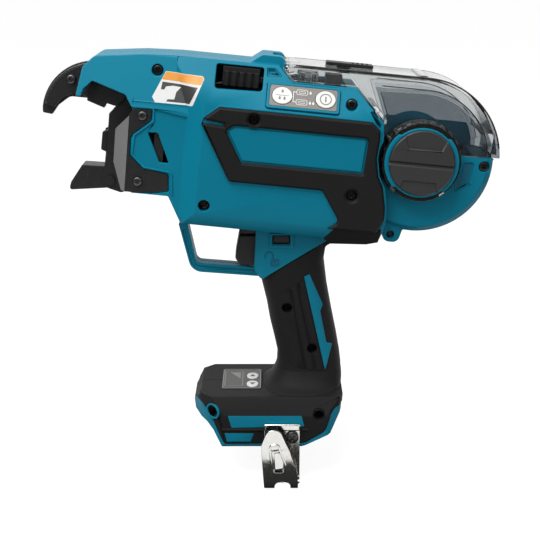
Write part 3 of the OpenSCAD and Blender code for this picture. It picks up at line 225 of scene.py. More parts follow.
def smokedClear(name, tint, roughness):
    # polycarbonate tinted in the mass: pale at the thin rim, darker in the bulged sides and at the rear; the
    # much darker near side is painted shade of the bay behind it
    material, tree, shader = newMaterial(name)
    place = addNode(tree, "TexCoord").outputs["Object"]
    waves = noise(tree, place, smokeWavesMm, 1.0)
    axes = addNode(tree, "SeparateXYZ", {}, {"Vector": place})
    colour = blend(tree, waves, srgb(tint["thin"]), srgb(tint["drift"]))
    for axis, start, end, tone in smokeZones:
        reach = addNode(tree, "MapRange", {}, {"Value": axes.outputs[axis], "From Min": start * mm,
                        "From Max": end * mm})
        colour = blend(tree, reach.outputs["Result"], colour, srgb(tint[tone]))
    relief = addNode(tree, "Bump", {}, {"Height": waves, "Strength": 0.15, "Distance": 0.1 * mm})
    tree.links.new(colour, shader.inputs["Base Color"])
    tree.links.new(relief.outputs["Normal"], shader.inputs["Normal"])
    shader.inputs["Roughness"].default_value = roughness
    shader.inputs["Transmission Weight"].default_value = 1.0
    shader.inputs["IOR"].default_value = 1.585
    return material


# the near tint is painted shade of the reel bay behind the cover's near side
finishes["smokedClear"] = smokedClear("polycarbonateSmoked", {
    "thin": "#dcdede", "drift": "#e4e6e6", "near": "#868d92", "far": "#c4c9cc"}, 0.04)
# the same polycarbonate at the cover's rear end and in the depth of its finger tab: dark grey
finishes["smokedDark"] = smokedClear("polycarbonateSmokedDeep", {
    "thin": "#4a4f53", "drift": "#53585c", "near": "#4a4f53", "far": "#4a4f53"}, 0.06)
# printed vinyl of the sticker and the dark film of the display: flat colours with a silky gloss
for name, colour, drift in (("stickerWhite", "#e8e8e6", "#e2e2e0"), ("stickerOrange", "#e79b3c", "#df9236"),
                            ("stickerGrey", "#3c3c3d", "#363637"), ("darkFilm", "#2b2c2c", "#333434")):
    finishes[name] = grainedPlastic("vinylFilm" + name[0].upper() + name[1:], colour, drift,
                                    driftMm=12, relief=0.15, roughness=0.36, ior=1.52)
print("materials made,", len(finishes))


def deselectAll():
    if bpy.context.object and bpy.context.object.mode != "OBJECT":
        bpy.ops.object.mode_set(mode="OBJECT")
    bpy.ops.object.select_all(action="DESELECT")


def pick(piece):
    deselectAll()
    piece.select_set(True)
    bpy.context.view_layer.objects.active = piece


def dress(piece, finish):
    piece.data.materials.clear()
    piece.data.materials.append(finishes[finish])


def fit(piece, finish, body="tool_body"):
    if not piece.data.materials:
        dress(piece, finish)
    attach(piece, body)


def applyModifier(piece, kind, **settings):
    pick(piece)
    modifier = piece.modifiers.new("step", kind)
    for name, value in settings.items():
        setattr(modifier, name, value)
    bpy.ops.object.modifier_apply(modifier="step")


def smoothBelow(piece, angle):
    pick(piece)
    bpy.ops.object.shade_smooth_by_angle(angle=math.radians(angle))


def evenShading(piece, angle=40):
    # large flat faces stay flat to the eye and only the rounded edges turn the light
    smoothBelow(piece, angle)
    applyModifier(piece, "WEIGHTED_NORMAL", keep_sharp=True, weight=50)


def roundEdges(piece, width, angle=35, segments=2):
    applyModifier(piece, "BEVEL", width=width * mm, segments=segments, limit_method="ANGLE",
                  angle_limit=math.radians(angle), use_clamp_overlap=False, miter_outer="MITER_ARC")
    evenShading(piece)


def carve(piece, cutter, operation="DIFFERENCE"):
    applyModifier(piece, "BOOLEAN", operation=operation, object=cutter, solver="EXACT")
    bpy.data.objects.remove(cutter)


def shift(along, up, out=0.0):
    return Matrix.Translation((along * mm, up * mm, out * mm))


def settle(piece, place=None):
    # the mesh takes its place for good, so that the object stands at the origin, unturned and unscaled
    pick(piece)
    if place is not None:
        piece.matrix_world = place
    bpy.ops.object.transform_apply(location=True, rotation=True, scale=True)


def editAll(piece):
    pick(piece)
    bpy.ops.object.mode_set(mode="EDIT")
    bpy.ops.mesh.select_all(action="SELECT")


def outward(piece):
    editAll(piece)
    bpy.ops.mesh.normals_make_consistent(inside=False)
    bpy.ops.object.mode_set(mode="OBJECT")


def choose(piece, kind, test):
    # leaves the piece in edit mode, with only the faces or edges that pass the test selected
    pick(piece)
    bpy.ops.object.mode_set(mode="EDIT")
    bpy.ops.mesh.select_all(action="DESELECT")
    bpy.ops.object.mode_set(mode="OBJECT")
    for part in piece.data.polygons if kind == "FACE" else piece.data.edges:
        part.select = test(part)
    bpy.ops.object.mode_set(mode="EDIT")
    bpy.ops.mesh.select_mode(type=kind)


def turned(name, sides, radius, high, base=0.0, ends="NGON"):
    # a plain round blank on its base
    deselectAll()
    bpy.ops.mesh.primitive_cylinder_add(vertices=sides, radius=radius * mm, depth=high * mm,
                                        end_fill_type=ends, location=(0, 0, (base + high / 2) * mm))
    blank = bpy.context.object
    blank.name = name
    settle(blank)
    return blank


def softCorners(points, steps=5):
    # corners with a third value become arcs of that radius
    loop = []
    for i, point in enumerate(points):
        here = Vector(point[:2])
        if len(point) < 3:
            loop.append(tuple(here))
            continue
        back = (Vector(points[i - 1][:2]) - here).normalized()
        ahead = (Vector(points[(i + 1) % len(points)][:2]) - here).normalized()
        half = back.angle(ahead) / 2
        centre = here + (back + ahead).normalized() * point[2] / math.sin(half)
        start = here + back * point[2] / math.tan(half) - centre
        turn = start.angle_signed(here + ahead * point[2] / math.tan(half) - centre)
        for k in range(steps + 1):
            loop.append(tuple(centre + start @ Matrix.Rotation(turn * k / steps, 2)))
    return loop


def grown(loop, distance):
    # every edge of an outline that runs anticlockwise moved outward
    points = [Vector(point[:2]) for point in loop]
    result = []
    for i, here in enumerate(points):
        before = (here - points[i - 1]).normalized()
        after = (points[(i + 1) % len(points)] - here).normalized()
        out = Vector((before.y, -before.x)) + Vector((after.y, -after.x))
        result.append(tuple(here + out * distance / max(0.3, 1 + before.dot(after))))
    return result


def ring(centre, radius, steps=32, squash=1.0):
    return [(centre[0] + radius * math.cos(2 * math.pi * k / steps),
             centre[1] + radius * squash * math.sin(2 * math.pi * k / steps)) for k in range(steps)]


barrelAlong = Vector((0.995227, 0, -0.097583))
barrelUp = Vector((0.097583, 0, 0.995227))


def plane(origin, along, up):
    out = along.cross(up)
    return Matrix([[along[i], up[i], out[i], origin[i] * mm] for i in range(3)] + [[0, 0, 0, 1]])


def onBarrel(along, across, up):
    return Vector((0, across, 191)) + barrelAlong * along + barrelUp * up


def barrelSide(across):
    return plane(onBarrel(0, across, 0), barrelAlong, barrelUp)


def handleSide(across):
    return plane(Vector((0, across, 0)), Vector((1, 0, 0)), Vector((0, 0, 1)))


def slopeOf(low, high, height=0):
    up = (onBarrel(0, *high) - onBarrel(0, *low)).normalized()
    return plane(onBarrel(0, *low) + barrelAlong.cross(up) * height, barrelAlong, up)


def drawLine(drawing, points, closed):
    line = drawing.splines.new("POLY")
    line.points.add(len(points) - 1)
    for point, spot in zip(line.points, points):
        point.co = (spot[0] * mm, spot[1] * mm, 0, 1)
    line.use_cyclic_u = closed


def meshOf(name, drawing, place):
    piece = bpy.data.objects.new(name, drawing)
    bpy.context.scene.collection.objects.link(piece)
    pick(piece)
    bpy.ops.object.convert(target="MESH")
    piece = bpy.context.object
    settle(piece, place)
    return piece


def flatPiece(name, loops, thick, edge, place, steps=1):
    # an outline drawn flat, given its thickness towards the viewer, then set in its place
    drawing = bpy.data.curves.new(name, "CURVE")
    drawing.dimensions = "2D"
    drawing.fill_mode = "BOTH"
    drawing.extrude = (thick / 2 - edge) * mm
    drawing.bevel_depth = edge * mm
    drawing.bevel_resolution = steps
    drawing.offset = -edge * mm
    for loop in loops:
        drawLine(drawing, loop, True)
    piece = meshOf(name, drawing, place @ shift(0, 0, thick / 2))
    editAll(piece)
    bpy.ops.mesh.remove_doubles(threshold=0.001 * mm)
    outward(piece)
    smoothBelow(piece, 40)
    return piece


def prism(loop, start, depth, place):
    # a cutter that starts above the plane and goes that deep
    return flatPiece("cutter", [loop], depth, 0, place @ shift(0, 0, start - depth))


def beadLine(name, points, radius, place):
    # a round bead along an open line
    drawing = bpy.data.curves.new(name, "CURVE")
    drawing.dimensions = "3D"
    drawing.bevel_depth = radius * mm
    drawing.bevel_resolution = 2
    drawing.use_fill_caps = True
    drawLine(drawing, points, False)
    piece = meshOf(name, drawing, place)
    bpy.ops.object.shade_smooth()
    return piece


def freshCopy(source, name):
    pick(source)
    bpy.ops.object.duplicate()
    copy = bpy.context.active_object
    copy.parent = None
    copy.name = name
    for key in list(copy.keys()):
        del copy[key]
    pick(copy)
    return copy


def copyTo(model, place, name):
    copy = freshCopy(model, name)
    settle(copy, place)
    return copy


def mirrored(piece, name):
    copy = freshCopy(piece, name)
    copy.scale = (1, -1, 1)
    bpy.ops.object.transform_apply(location=False, rotation=False, scale=True)
    outward(copy)
    return copy


def fitPair(piece, rightName, finish):
    # the piece and its mirror image on the right side
    copy = mirrored(piece, rightName)
    fit(piece, finish)
    fit(copy, finish)


def joined(pieces, name):
    deselectAll()
    for piece in pieces:
        piece.select_set(True)
    bpy.context.view_layer.objects.active = pieces[0]
    bpy.ops.object.join()
    pieces[0].name = name
    return pieces[0]


def mergedCopy(nodeName, name):
    copy = freshCopy(nodes[nodeName], name)
    bpy.ops.mesh.customdata_custom_splitnormals_clear()
    editAll(copy)
    bpy.ops.mesh.remove_doubles(threshold=0.002 * mm)
    # the flat joint face in the middle keeps its triangles
    choose(copy, "FACE", lambda face: not (abs(face.normal.y) > 0.99 and abs(face.center.y) < 0.3 * mm))
    bpy.ops.mesh.dissolve_limited(angle_limit=math.radians(0.08))
    bpy.ops.object.mode_set(mode="OBJECT")
    copy.data.materials.clear()
    return copy


def skinOf(nodeName, width, finish, cutters=()):
    skin = mergedCopy(nodeName, nodeName + "Skin")
    for cutter in cutters:
        carve(skin, cutter)
    roundEdges(skin, width)
    dress(skin, finish)
    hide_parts(nodeName)
    fit(skin, finish, nodes[nodeName]["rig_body"])
    return skin


def layerOn(nodeName, name, loop, place, start, depth, proud, edge):
    # a thin moulded or stuck layer that follows the solid under it
    layer = freshCopy(bases[nodeName], name)
    applyModifier(layer, "DISPLACE", strength=proud * mm, mid_level=0.0)
    carve(layer, prism(loop, start, depth, place), "INTERSECT")
    if edge:
        roundEdges(layer, edge, 30)
    else:
        pick(layer)
        bpy.ops.object.shade_flat()
    return layer


bases = {nodeName: mergedCopy(nodeName, nodeName + "Base") for nodeName in ("left_housing", "left_grip")}

# pockets and slots of the two shells: outline, start of the cutter above the plane, depth below it, plane
shoulder = slopeOf((-25, 40.5), (-20, 49.2))
shellCuts = {
    "noseSlot": ([(-76.4, 1.3), (-70.2, 1.6), (-62.1, -17.0), (-67.9, -17.0)], 3, 3.2, barrelSide(-29)),
    "vent": (softCorners([(59.4, 28.0), (61.8, 28.0, 0.5), (66.9, 20.4, 0.6), (66.6, 17.6),
                          (64.9, 19.0, 0.4)]), 3, 4.0, barrelSide(-35)),
    "pocket": (softCorners([(-6.1, 7.6, 0.4), (-1.0, 7.8), (3.6, 3.0), (-5.7, 2.4, 0.4)]), 2, 0.8, shoulder),
    "pocketSlot": ([(-5.9, 7.2), (-1.0, 7.2), (-0.6, 4.7), (-5.8, 4.7)], 2, 2.2, shoulder),
    "guardGroove": (softCorners([(-57.5, 132), (-50.8, 105.0, 7.6), (-10, 102.0), (-10.6, 104.3),
                                 (-49.4, 107.4, 5.6), (-55.8, 132)]), 2, 0.7, handleSide(-6.5))}


def shellCutters():
    return [prism(loop, start, start + deep, place) for loop, start, deep, place in shellCuts.values()]


def toRight(cutters):
    right = []
    for cutter in cutters:
        right.append(mirrored(cutter, "cutter"))
        bpy.data.objects.remove(cutter)
    return right


reelCentre = (94.4, 0)
# sunk arrow on the reel case, round the knob
arrow = {"inner": 28.2, "outer": 34.2, "start": 2, "neck": -20, "tip": -36, "barbIn": 25.6, "point": 30.4,
         "barbOut": 36.8, "deep": 0.5, "face": -25}


def arcOf(radius, start, end, steps=8, centre=reelCentre):
    turns = [math.radians(start + (end - start) * k / steps) for k in range(steps + 1)]
    return [(centre[0] + radius * math.cos(turn), centre[1] + radius * math.sin(turn)) for turn in turns]


arrowLoop = (arcOf(arrow["inner"], arrow["start"], arrow["neck"])
             + [arcOf(arrow["barbIn"], arrow["neck"], 0)[0], arcOf(arrow["point"], arrow["tip"], 0)[0],
                arcOf(arrow["barbOut"], arrow["neck"], 0)[0]]
             + arcOf(arrow["outer"], arrow["neck"], arrow["start"]))


def arrowCutters():
    return [prism(arrowLoop, 1, 1 + arrow["deep"], barrelSide(arrow["face"]))]


cutters = {"left_housing": shellCutters(), "right_housing": toRight(shellCutters()),
           "reel_case_left": arrowCutters(), "reel_case_right": toRight(arrowCutters())}

# edge radius in mm and finish of each outer piece, which keeps the solid's shape and gets moulded edges
outer = {
    "left_housing": (0.7, "tealNylon"), "right_housing": (0.7, "tealNylon"),
    "left_grip": (0.6, "elastomer"), "right_grip": (0.6, "elastomer"),
    "left_foot_cover": (0.9, "elastomer"), "right_foot_cover": (0.9, "elastomer"),
    "reel_case_left": (0.6, "tealNylon"), "reel_case_right": (0.6, "tealNylon"),
    "reel_cover": (0.5, "smokedClear"), "cover_latch": (0.3, "blackNylon"),
    "control_panel": (0.4, "tealNylon"), "panel_label": (0.1, "greyFilm"),
    "power_button": (0.5, "whiteAbs"), "mode_button": (0.5, "whiteAbs"),
    "feed_lever": (0.4, "blackNylon"), "trigger": (1.4, "blackNylon"), "trigger_lock": (0.6, "blackNylon"),
    "curl_guide": (0.4, "blackSteel"), "curl_cheeks": (0.4, "blackSteel"), "jaw_cover": (0.3, "blackSteel"),
    "nose_frame": (0.4, "blackSteel"), "left_nose_plate": (0.3, "blackSteel"),
    "right_nose_plate": (0.3, "blackSteel"), "contact_pads": (0.5, "blackSteel"),
    "lower_guide": (0.5, "blackSteel"), "nose_pins": (0.3, "blackSteel"),
    "foot_panel": (0.2, "blackNylon"), "plus_button": (0.4, "whiteAbs"), "minus_button": (0.4, "whiteAbs"),
    "battery_shoe": (0.4, "blackNylon")}
skins = {}
for nodeName, (width, finish) in outer.items():
    skins[nodeName] = skinOf(nodeName, width, finish, cutters.get(nodeName, ()))
print("outer pieces made,", len(skins))


def repaint(piece, finish, test):
    # faces that pass the test get a second finish
    piece.data.materials.append(finishes[finish])
    for face in piece.data.polygons:
        if test(face):
            face.material_index = len(piece.data.materials) - 1


# where a second finish starts, in mm
limits = {"footFront": -44, "footLow": 12, "footHigh": 23.8, "tabHalf": 9.3, "tabFront": 132.5,
          "arrowLow": 24.3, "arrowHigh": 24.7, "armRear": -100}
# faces of the bent front flange that look forward are painted grey: painted highlight
for nodeName, side in (("left_nose_plate", -1), ("right_nose_plate", 1)):   # bent front flange
    repaint(skins[nodeName], "greyPaintedHighlight", lambda face: face.normal.y * side > 0.45 and face.normal.x < -0.45)
for nodeName in ("left_housing", "right_housing"):   # black front slope of the foot
    repaint(skins[nodeName], "elastomer", lambda face: face.center.x < limits["footFront"] * mm and
            face.normal.z > 0.3 and limits["footLow"] * mm < face.center.z < limits["footHigh"] * mm)
repaint(skins["reel_cover"], "smokedDark", lambda face: abs(face.center.y) < limits["tabHalf"] * mm and
        face.center.x > limits["tabFront"] * mm)
# the arrow's floor is painted darker teal: painted shade in the recess
for nodeName in ("reel_case_left", "reel_case_right"):   # floor of the arrow
    repaint(skins[nodeName], "tealPaintedShade", lambda face: abs(face.normal.y) > 0.95 and
            limits["arrowLow"] * mm < abs(face.center.y) < limits["arrowHigh"] * mm)
# upward faces of the arm's rim are painted grey: painted highlight
for nodeName in ("curl_guide", "curl_cheeks"):   # upper rim of the arm
    repaint(skins[nodeName], "greyPaintedHighlight", lambda face: abs(face.normal.y) < 0.8 and
            face.normal.z - 0.8 * face.normal.x > 0.5 and face.center.x < limits["armRear"] * mm)

inner = {
    "cover_pin": "groundSteel", "reel_hub": "blackNylon", "cutter_blade": "groundSteel",
    "ring_gear": "blackSteel", "motor_stator": "copperWinding", "motor_rotor": "groundSteel",
    "motor_fan": "blackNylon", "motor_bearings": "groundSteel", "planet_gear_1": "groundSteel",
    "planet_gear_2": "groundSteel", "planet_gear_3": "groundSteel", "twist_spindle": "groundSteel",
    "twist_hooks": "groundSteel", "feed_base": "groundSteel", "feed_motor": "drawnAluminium",
    "feed_drive_gear": "groundSteel", "feed_idler_gear": "groundSteel", "wire_inlet": "blackNylon",
    "wire_tube": "groundSteel", "switch_unit": "blackNylon", "controller": "greyFilm",
    "hook_inserts": "turnedBrass"}
for nodeName, finish in inner.items():
    dress(nodes[nodeName], finish)
print("inner pieces dressed,", len(inner))

# pan head screw with a cross recess: spots along and up, how far out each sits, on the foot its height
screw = {"radius": 3.15, "high": 2.5, "round": 0.9, "shank": 1.5, "shankLong": 20, "bladeLong": 3.6,
         "bladeWide": 0.85, "bladeDeep": 1.5, "turns": (0.785, 2.356),
         "barrel": [(-73.6, 39.4, 18.5), (-37.7, -40.3, 29), (47.7, 30.7, 27), (-11.5, 16.7, 31),
                    (135.6, -0.6, 21.6), (53.6, -24.6, 31.5)],
         "foot": [(11.2, 81.4, 11, 0.4), (27.9, 53.1, 11, 0.4), (-37.5, 15, 26, 1), (32.2, 14, 30, 1)]}
# low button head with a hexagon, on the nose plates and on the curl arm
button = {"radius": 2.9, "high": 1.5, "round": 1.0, "key": 1.35, "keyLow": 0.5, "keyHigh": 2,
          "plate": [(-80.4, 11.4), (-80.6, -30.2)], "plateAt": -29.05, "arm": (-129.0, 26.5), "armAt": -5.9}


def panHead(shankLong):
    head = turned("panHead", 32, screw["radius"], screw["high"])
    top = 0.9 * screw["high"] * mm
    choose(head, "EDGE", lambda edge: all(head.data.vertices[v].co.z > top for v in edge.vertices))
    bpy.ops.mesh.bevel(offset=screw["round"] * mm, segments=4)
    choose(head, "FACE", lambda face: face.normal.z < -0.9)
    bpy.ops.mesh.inset(thickness=(screw["radius"] - screw["shank"]) * mm)
    bpy.ops.mesh.extrude_region_move(TRANSFORM_OT_translate={"value": (0, 0, -shankLong * mm)})
    bpy.ops.object.mode_set(mode="OBJECT")
    for turn in screw["turns"]:
        bpy.ops.mesh.primitive_cube_add(size=1, location=(0, 0, screw["high"] * mm), rotation=(0, 0, turn))
        blade = bpy.context.object
        blade.scale = (screw["bladeLong"] * mm, screw["bladeWide"] * mm, 2 * screw["bladeDeep"] * mm)
        settle(blade)
        carve(head, blade)
    smoothBelow(head, 35)
    return head


def buttonHead():
    head = turned("buttonHead", 32, button["radius"], button["high"])
    choose(head, "EDGE", lambda edge: True)
    bpy.ops.mesh.bevel(offset=button["round"] * mm, segments=4)
    carve(head, turned("cutter", 6, button["key"], button["keyHigh"], button["keyLow"]))
    smoothBelow(head, 35)
    return head


pan = panHead(screw["shankLong"])
dome = buttonHead()
bolts = [copyTo(pan, barrelSide(-out) @ shift(along, up), "bolt") for along, up, out in screw["barrel"]]
sunkBolts = [copyTo(pan, handleSide(-out) @ shift(along, up) @ Matrix.Diagonal((1, 1, flat, 1)), "bolt")
             for along, up, out, flat in screw["foot"]]
heads = [copyTo(dome, barrelSide(button["plateAt"]) @ shift(*spot), "head") for spot in button["plate"]]
heads += [mirrored(head, "head") for head in list(heads)]
rivets = [copyTo(dome, barrelSide(button["armAt"]) @ shift(*button["arm"]), "rivet")]
rivets.append(mirrored(rivets[0], "rivet"))
screwSet = joined(bolts, "housingScrewSet")
sunkSet = joined(sunkBolts, "handleScrewSet")
headSet = joined(heads + rivets, "buttonHeadSet")
bpy.data.objects.remove(pan)
bpy.data.objects.remove(dome)
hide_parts("housing_screws")
fit(screwSet, "glossNylon")
fit(sunkSet, "phosphated")
# the button heads are painted grey: painted sheen
fit(headSet, "greyPaintedSheen")

# black sleeves in the mouths of the screw holes, and plugs in the blind ones on the far side
liner = {"radius": 3.75, "wall": 0.4, "edge": 0.12, "plug": 4.2, "plugThick": 0.8, "plugAt": -36.4}
holes = {"A": (-11.5, 16.7), "B": (53.6, -24.6)}
linerSpots = {"bumperLinerA": (barrelSide(-37.0), holes["A"], 4.0),
              "bumperLinerB": (barrelSide(-37.0), holes["B"], 4.0),
              "footLiner": (handleSide(-37.4), (32.2, 14.0), 5.4)}
for name, (place, spot, depth) in linerSpots.items():
    sleeve = turned(name, 32, liner["radius"], depth, -depth, "NOTHING")
    applyModifier(sleeve, "SOLIDIFY", thickness=liner["wall"] * mm, offset=-1)
    settle(sleeve, place @ shift(*spot))
    roundEdges(sleeve, liner["edge"])
    fit(sleeve, "elastomer")
for letter, spot in holes.items():
    plug = flatPiece("bossPlug" + letter, [ring(spot, liner["plug"])], liner["plugThick"], 0.2,
                     barrelSide(liner["plugAt"]))
    fit(mirrored(plug, "bossPlug" + letter + "Right"), "elastomer")
    bpy.data.objects.remove(plug)
print("screws made")

# belt hook with a fold at the top and a tongue: the leaf bows out, so the plating runs from bright to dark
hook = {"low": -42.0, "high": 9.0, "cuts": 18, "bow": 1.9, "from": -46.0, "lip": 4.0, "lipLean": 0.4,
        "sunk": [(1.2, -21.0, 3), (10.2, -21.0, 3), (10.6, -15.0, 3), (5.6, 0.4, 3), (-1.0, -1.0, 3)],
        "sunkGrow": -1.3, "sunkDeep": 3.2, "face": -51.7,
        "tongue": [(3.4, -17.6, 0.8), (8.6, -16.6, 0.8), (8.8, -13.0, 2), (6.2, -5.0, 2), (2.8, -5.6, 2)],
        "tongueThick": 1.8, "tongueAt": -49.4, "tongueTop": -5, "tongueLean": 0.12,
        "fold": [(-3.7, 4.2, 0.5), (19.9, 4.2, 0.5), (19.9, 8.9, 0.5), (-3.7, 8.9, 0.5)],
        "foldThick": 2.6, "foldRound": 0.95, "foldAt": -38.7,
        "screw": (14.7, -0.4), "screwAt": -39.75, "screwWide": 1.33, "screwLong": 8.0}


def bowed(piece):
    pick(piece)
    bpy.ops.object.mode_set(mode="EDIT")
    for k in range(hook["cuts"]):
        bpy.ops.mesh.select_all(action="SELECT")
        level = hook["low"] + (hook["high"] - hook["low"]) * (k + 0.5) / hook["cuts"]
        bpy.ops.mesh.bisect(plane_co=(0, 0, level * mm), plane_no=(0, 0, 1))
    bpy.ops.object.mode_set(mode="OBJECT")
    for spot in piece.data.vertices:
        # the lip of the leaf stands up straight
        if spot.co.y < hook["from"] * mm and spot.co.z > hook["lip"] * mm:
            spot.co.y += (spot.co.z - hook["lip"] * mm) * hook["lipLean"]
        along = 2 * (spot.co.z / mm - hook["low"]) / (hook["high"] - hook["low"]) - 1
        if spot.co.y < hook["from"] * mm and abs(along) < 1:
            spot.co.y -= hook["bow"] * (1 - along ** 2) * mm


beltHook = mergedCopy("belt_hook", "beltHook")
sunkLoop = grown(softCorners(hook["sunk"]), hook["sunkGrow"])
carve(beltHook, prism(sunkLoop, 1, hook["sunkDeep"], handleSide(hook["face"])))
bowed(beltHook)
roundEdges(beltHook, 0.3, 35)
hookTongue = flatPiece("hookTongue", [softCorners(hook["tongue"])], hook["tongueThick"], 0.4,
                       handleSide(hook["tongueAt"]))
bowed(hookTongue)
for spot in hookTongue.data.vertices:   # the free end stands out
    spot.co.y += (spot.co.z - hook["tongueTop"] * mm) * hook["tongueLean"]
evenShading(hookTongue)
hookFold = flatPiece("hookFold", [softCorners(hook["fold"])], hook["foldThick"], hook["foldRound"],
                     handleSide(hook["foldAt"]), 3)
hookScrew = panHead(hook["screwLong"])
hookScrew.name = "hookScrew"
settle(hookScrew, handleSide(hook["screwAt"]) @ shift(*hook["screw"])
       @ Matrix.Diagonal((hook["screwWide"], hook["screwWide"], 1.0, 1.0)))
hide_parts("belt_hook")
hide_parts("hook_screw")
for piece in (beltHook, hookTongue, hookFold):
    fit(piece, "brightNickel")
fit(hookScrew, "glossNylon")
print("hook made")

# printed marks on the keypad: white lines on the film, grey marks on the keys
keypad = {"low": (-36, 22.5), "high": (-25, 40.5), "film": 1.2, "keyTop": 1.9, "line": 0.32, "thick": 0.12,
          "rows": (5.8, 12.4), "frame": (13.0, 0, 20.0, 3.6, 1.1), "window": (14.4, 1.1, 18.6, 2.5, 0.5),
          "fineLine": 0.256,
          "bracket": [(11.0, 7.4), (13.0, 7.4), (13.0, 7.8), (11.4, 7.8), (11.4, 14.0), (13.0, 14.0),
                      (13.0, 14.4), (11.0, 14.4), (11.0, 11.0), (10.4, 11.0), (10.4, 10.6), (11.0, 10.6)],
          "drops": [(21.6, 14.1), (21.7, 7.4), (23.7, 7.4)], "drop": 1.1,
          "modeKey": (4.4, 10.85), "modeDrops": [(0, 2.6), (-1.5, -2.0), (1.5, -2.0)], "modeDrop": 1.2,
          "modeBar": (-4.2, -0.1, 4.2, 0.15),
          "powerKey": (31.2, 10.85), "ringOut": 3.7, "ringIn": 3.1, "powerBar": (-0.4, -1.8, 0.4, 1.8, 0.3)}
film = slopeOf(keypad["low"], keypad["high"], keypad["film"])
keyTop = slopeOf(keypad["low"], keypad["high"], keypad["keyTop"])


def box(left, low, right, high, *radius):
    return [(left, low, *radius), (right, low, *radius), (right, high, *radius), (left, high, *radius)]


def frameLoops(left, low, right, high, radius, line):
    return [softCorners(box(left, low, right, high, radius)),
            softCorners(box(left + line, low + line, right - line, high - line, radius - line))]


def dropLoop(centre, size):
    return [(centre[0] + size * 0.62 * math.sin(a) * (1 if math.cos(a) < 0 else (1 - math.cos(a)) ** 0.6),
             centre[1] + size * (math.cos(a) * (1.35 if math.cos(a) > 0 else 0.7)))
            for a in [2 * math.pi * k / 20 for k in range(20)]]


def printed(name, marks, place, finish, body="tool_body"):
    # every mark is a list of outlines, and the marks become one thin piece
    layers = [flatPiece("mark", loops, keypad["thick"], 0, place) for loops in marks]
    fit(joined(layers, name), finish, body)


marks = []
for row in keypad["rows"]:
    for shape, line in (("frame", "line"), ("window", "fineLine")):
        left, low, right, high, radius = keypad[shape]
        marks.append(frameLoops(left, row + low, right, row + high, radius, keypad[line]))
marks.append([keypad["bracket"]])
marks += [[dropLoop(spot, keypad["drop"])] for spot in keypad["drops"]]
printed("keypadPrint", marks, film, "whiteAbs")
marks = [[dropLoop(spot, keypad["modeDrop"])] for spot in keypad["modeDrops"]] + [[box(*keypad["modeBar"])]]
printed("modeKeyPrint", marks, keyTop @ shift(*keypad["modeKey"]), "greyFilm", "mode_button")
marks = [[ring((0, 0), keypad["ringOut"]), ring((0, 0), keypad["ringIn"])],
         [softCorners(box(*keypad["powerBar"]))]]
printed("powerKeyPrint", marks, keyTop @ shift(*keypad["powerKey"]), "greyFilm", "power_button")
print("keypad printed")

# plain sticker on the nose: white field, orange band and a dark outline of the jaw
sticker = {"field": [(-68.3, 39.4, 1.2), (-43.7, 38.7, 1.6), (-50.0, 20.3, 1.4), (-73.2, 20.3, 0.8),
                     (-75.4, 23.4, 0.8)],
           "band": [(-68.1, 39.2, 1.0), (-44.0, 38.5, 1.4), (-45.9, 33.5), (-70.4, 34.4)],
           "jaw": [(-69.9, 33.0), (-47.6, 32.0), (-52.0, 21.4), (-66.6, 21.5), (-65.6, 22.9), (-61.6, 23.1),
                   (-60.8, 27.6), (-58.0, 30.8), (-63.0, 31.2), (-67.4, 30.4), (-68.4, 28.4), (-70.4, 28.4)],
           "thick": 0.16, "printThick": 0.24, "start": 5, "depth": 20, "bend": 55}
panelSide = barrelSide(-36)
for name, loop, proud, finish in (
        ("noseSticker", softCorners(sticker["field"]), sticker["thick"], "stickerWhite"),
        ("noseStickerBand", softCorners(sticker["band"]), sticker["printThick"], "stickerOrange"),
        ("noseStickerJaw", sticker["jaw"], sticker["printThick"], "stickerGrey")):
    patch = layerOn("left_housing", name, loop, panelSide, sticker["start"], sticker["depth"], proud, 0)
    smoothBelow(patch, sticker["bend"])   # the film bends softly over the fold
    fit(patch, finish)
print("sticker set")

# black wrap of the bumper round the barrel's lower rear edge
wrap = {"loop": [(47.5, -44.5), (74.6, -44.5), (74.2, -56.4), (67, -57.4), (45, -59.4), (39.5, -55.5)],
        "start": 4, "depth": 14, "proud": 1.0, "edge": 0.4}
leftWrap = layerOn("left_housing", "leftBumperWrap", wrap["loop"], panelSide, wrap["start"], wrap["depth"],
                   wrap["proud"], wrap["edge"])
fitPair(leftWrap, "rightBumperWrap", "elastomer")

# bumper: thick rubber frame with chamfered edges and a slit at its front tip, in a thin teal lip
bumper = {"edge": [(61, 22, 2), (-33, 22.4), (-42, 15), (-43.2, 11.2, 1.5), (-23.5, -23, 3), (35, -23, 3),
                   (47.6, -42, 3), (41, -47), (72, -47, 3), (75.5, -38, 3), (75, -30), (72, -17), (68.5, -11),
                   (66.2, 0), (66.8, 12), (66.4, 17.5, 2)],
          "slit": [(-42, 15), (-40.6, 13.9), (-29.6, 12.7), (-29.6, 11.1), (-42.6, 11.9), (-43.1, 11.4)],
          "window": [(-28, 8.5, 1.5), (-17, -10.5, 2), (59, -10.5, 1.5), (60, 10.3, 1), (58, 12, 1.5),
                     (-23, 12, 1.5)],
          "hole": 3.7, "thick": 4.3, "chamfer": 1.3, "at": -34.3,
          "lip": 0.9, "lipGap": 0.15, "lipThick": 3.0, "lipRound": 0.3, "lipAt": -33.9,
          "lipGone": (34, -62, 84, -42.6), "lipGoneAt": -34}
edge = bumper["edge"]
rubberLoop = softCorners(edge[:2] + bumper["slit"] + edge[4:])
bumperHoles = [softCorners(bumper["window"])] + [ring(spot, bumper["hole"]) for spot in holes.values()]
leftBumper = flatPiece("leftBumper", [rubberLoop] + bumperHoles, bumper["thick"], bumper["chamfer"],
                       barrelSide(bumper["at"]), 0)
rightBumper = mirrored(leftBumper, "rightBumper")
lipLoop = softCorners(edge)
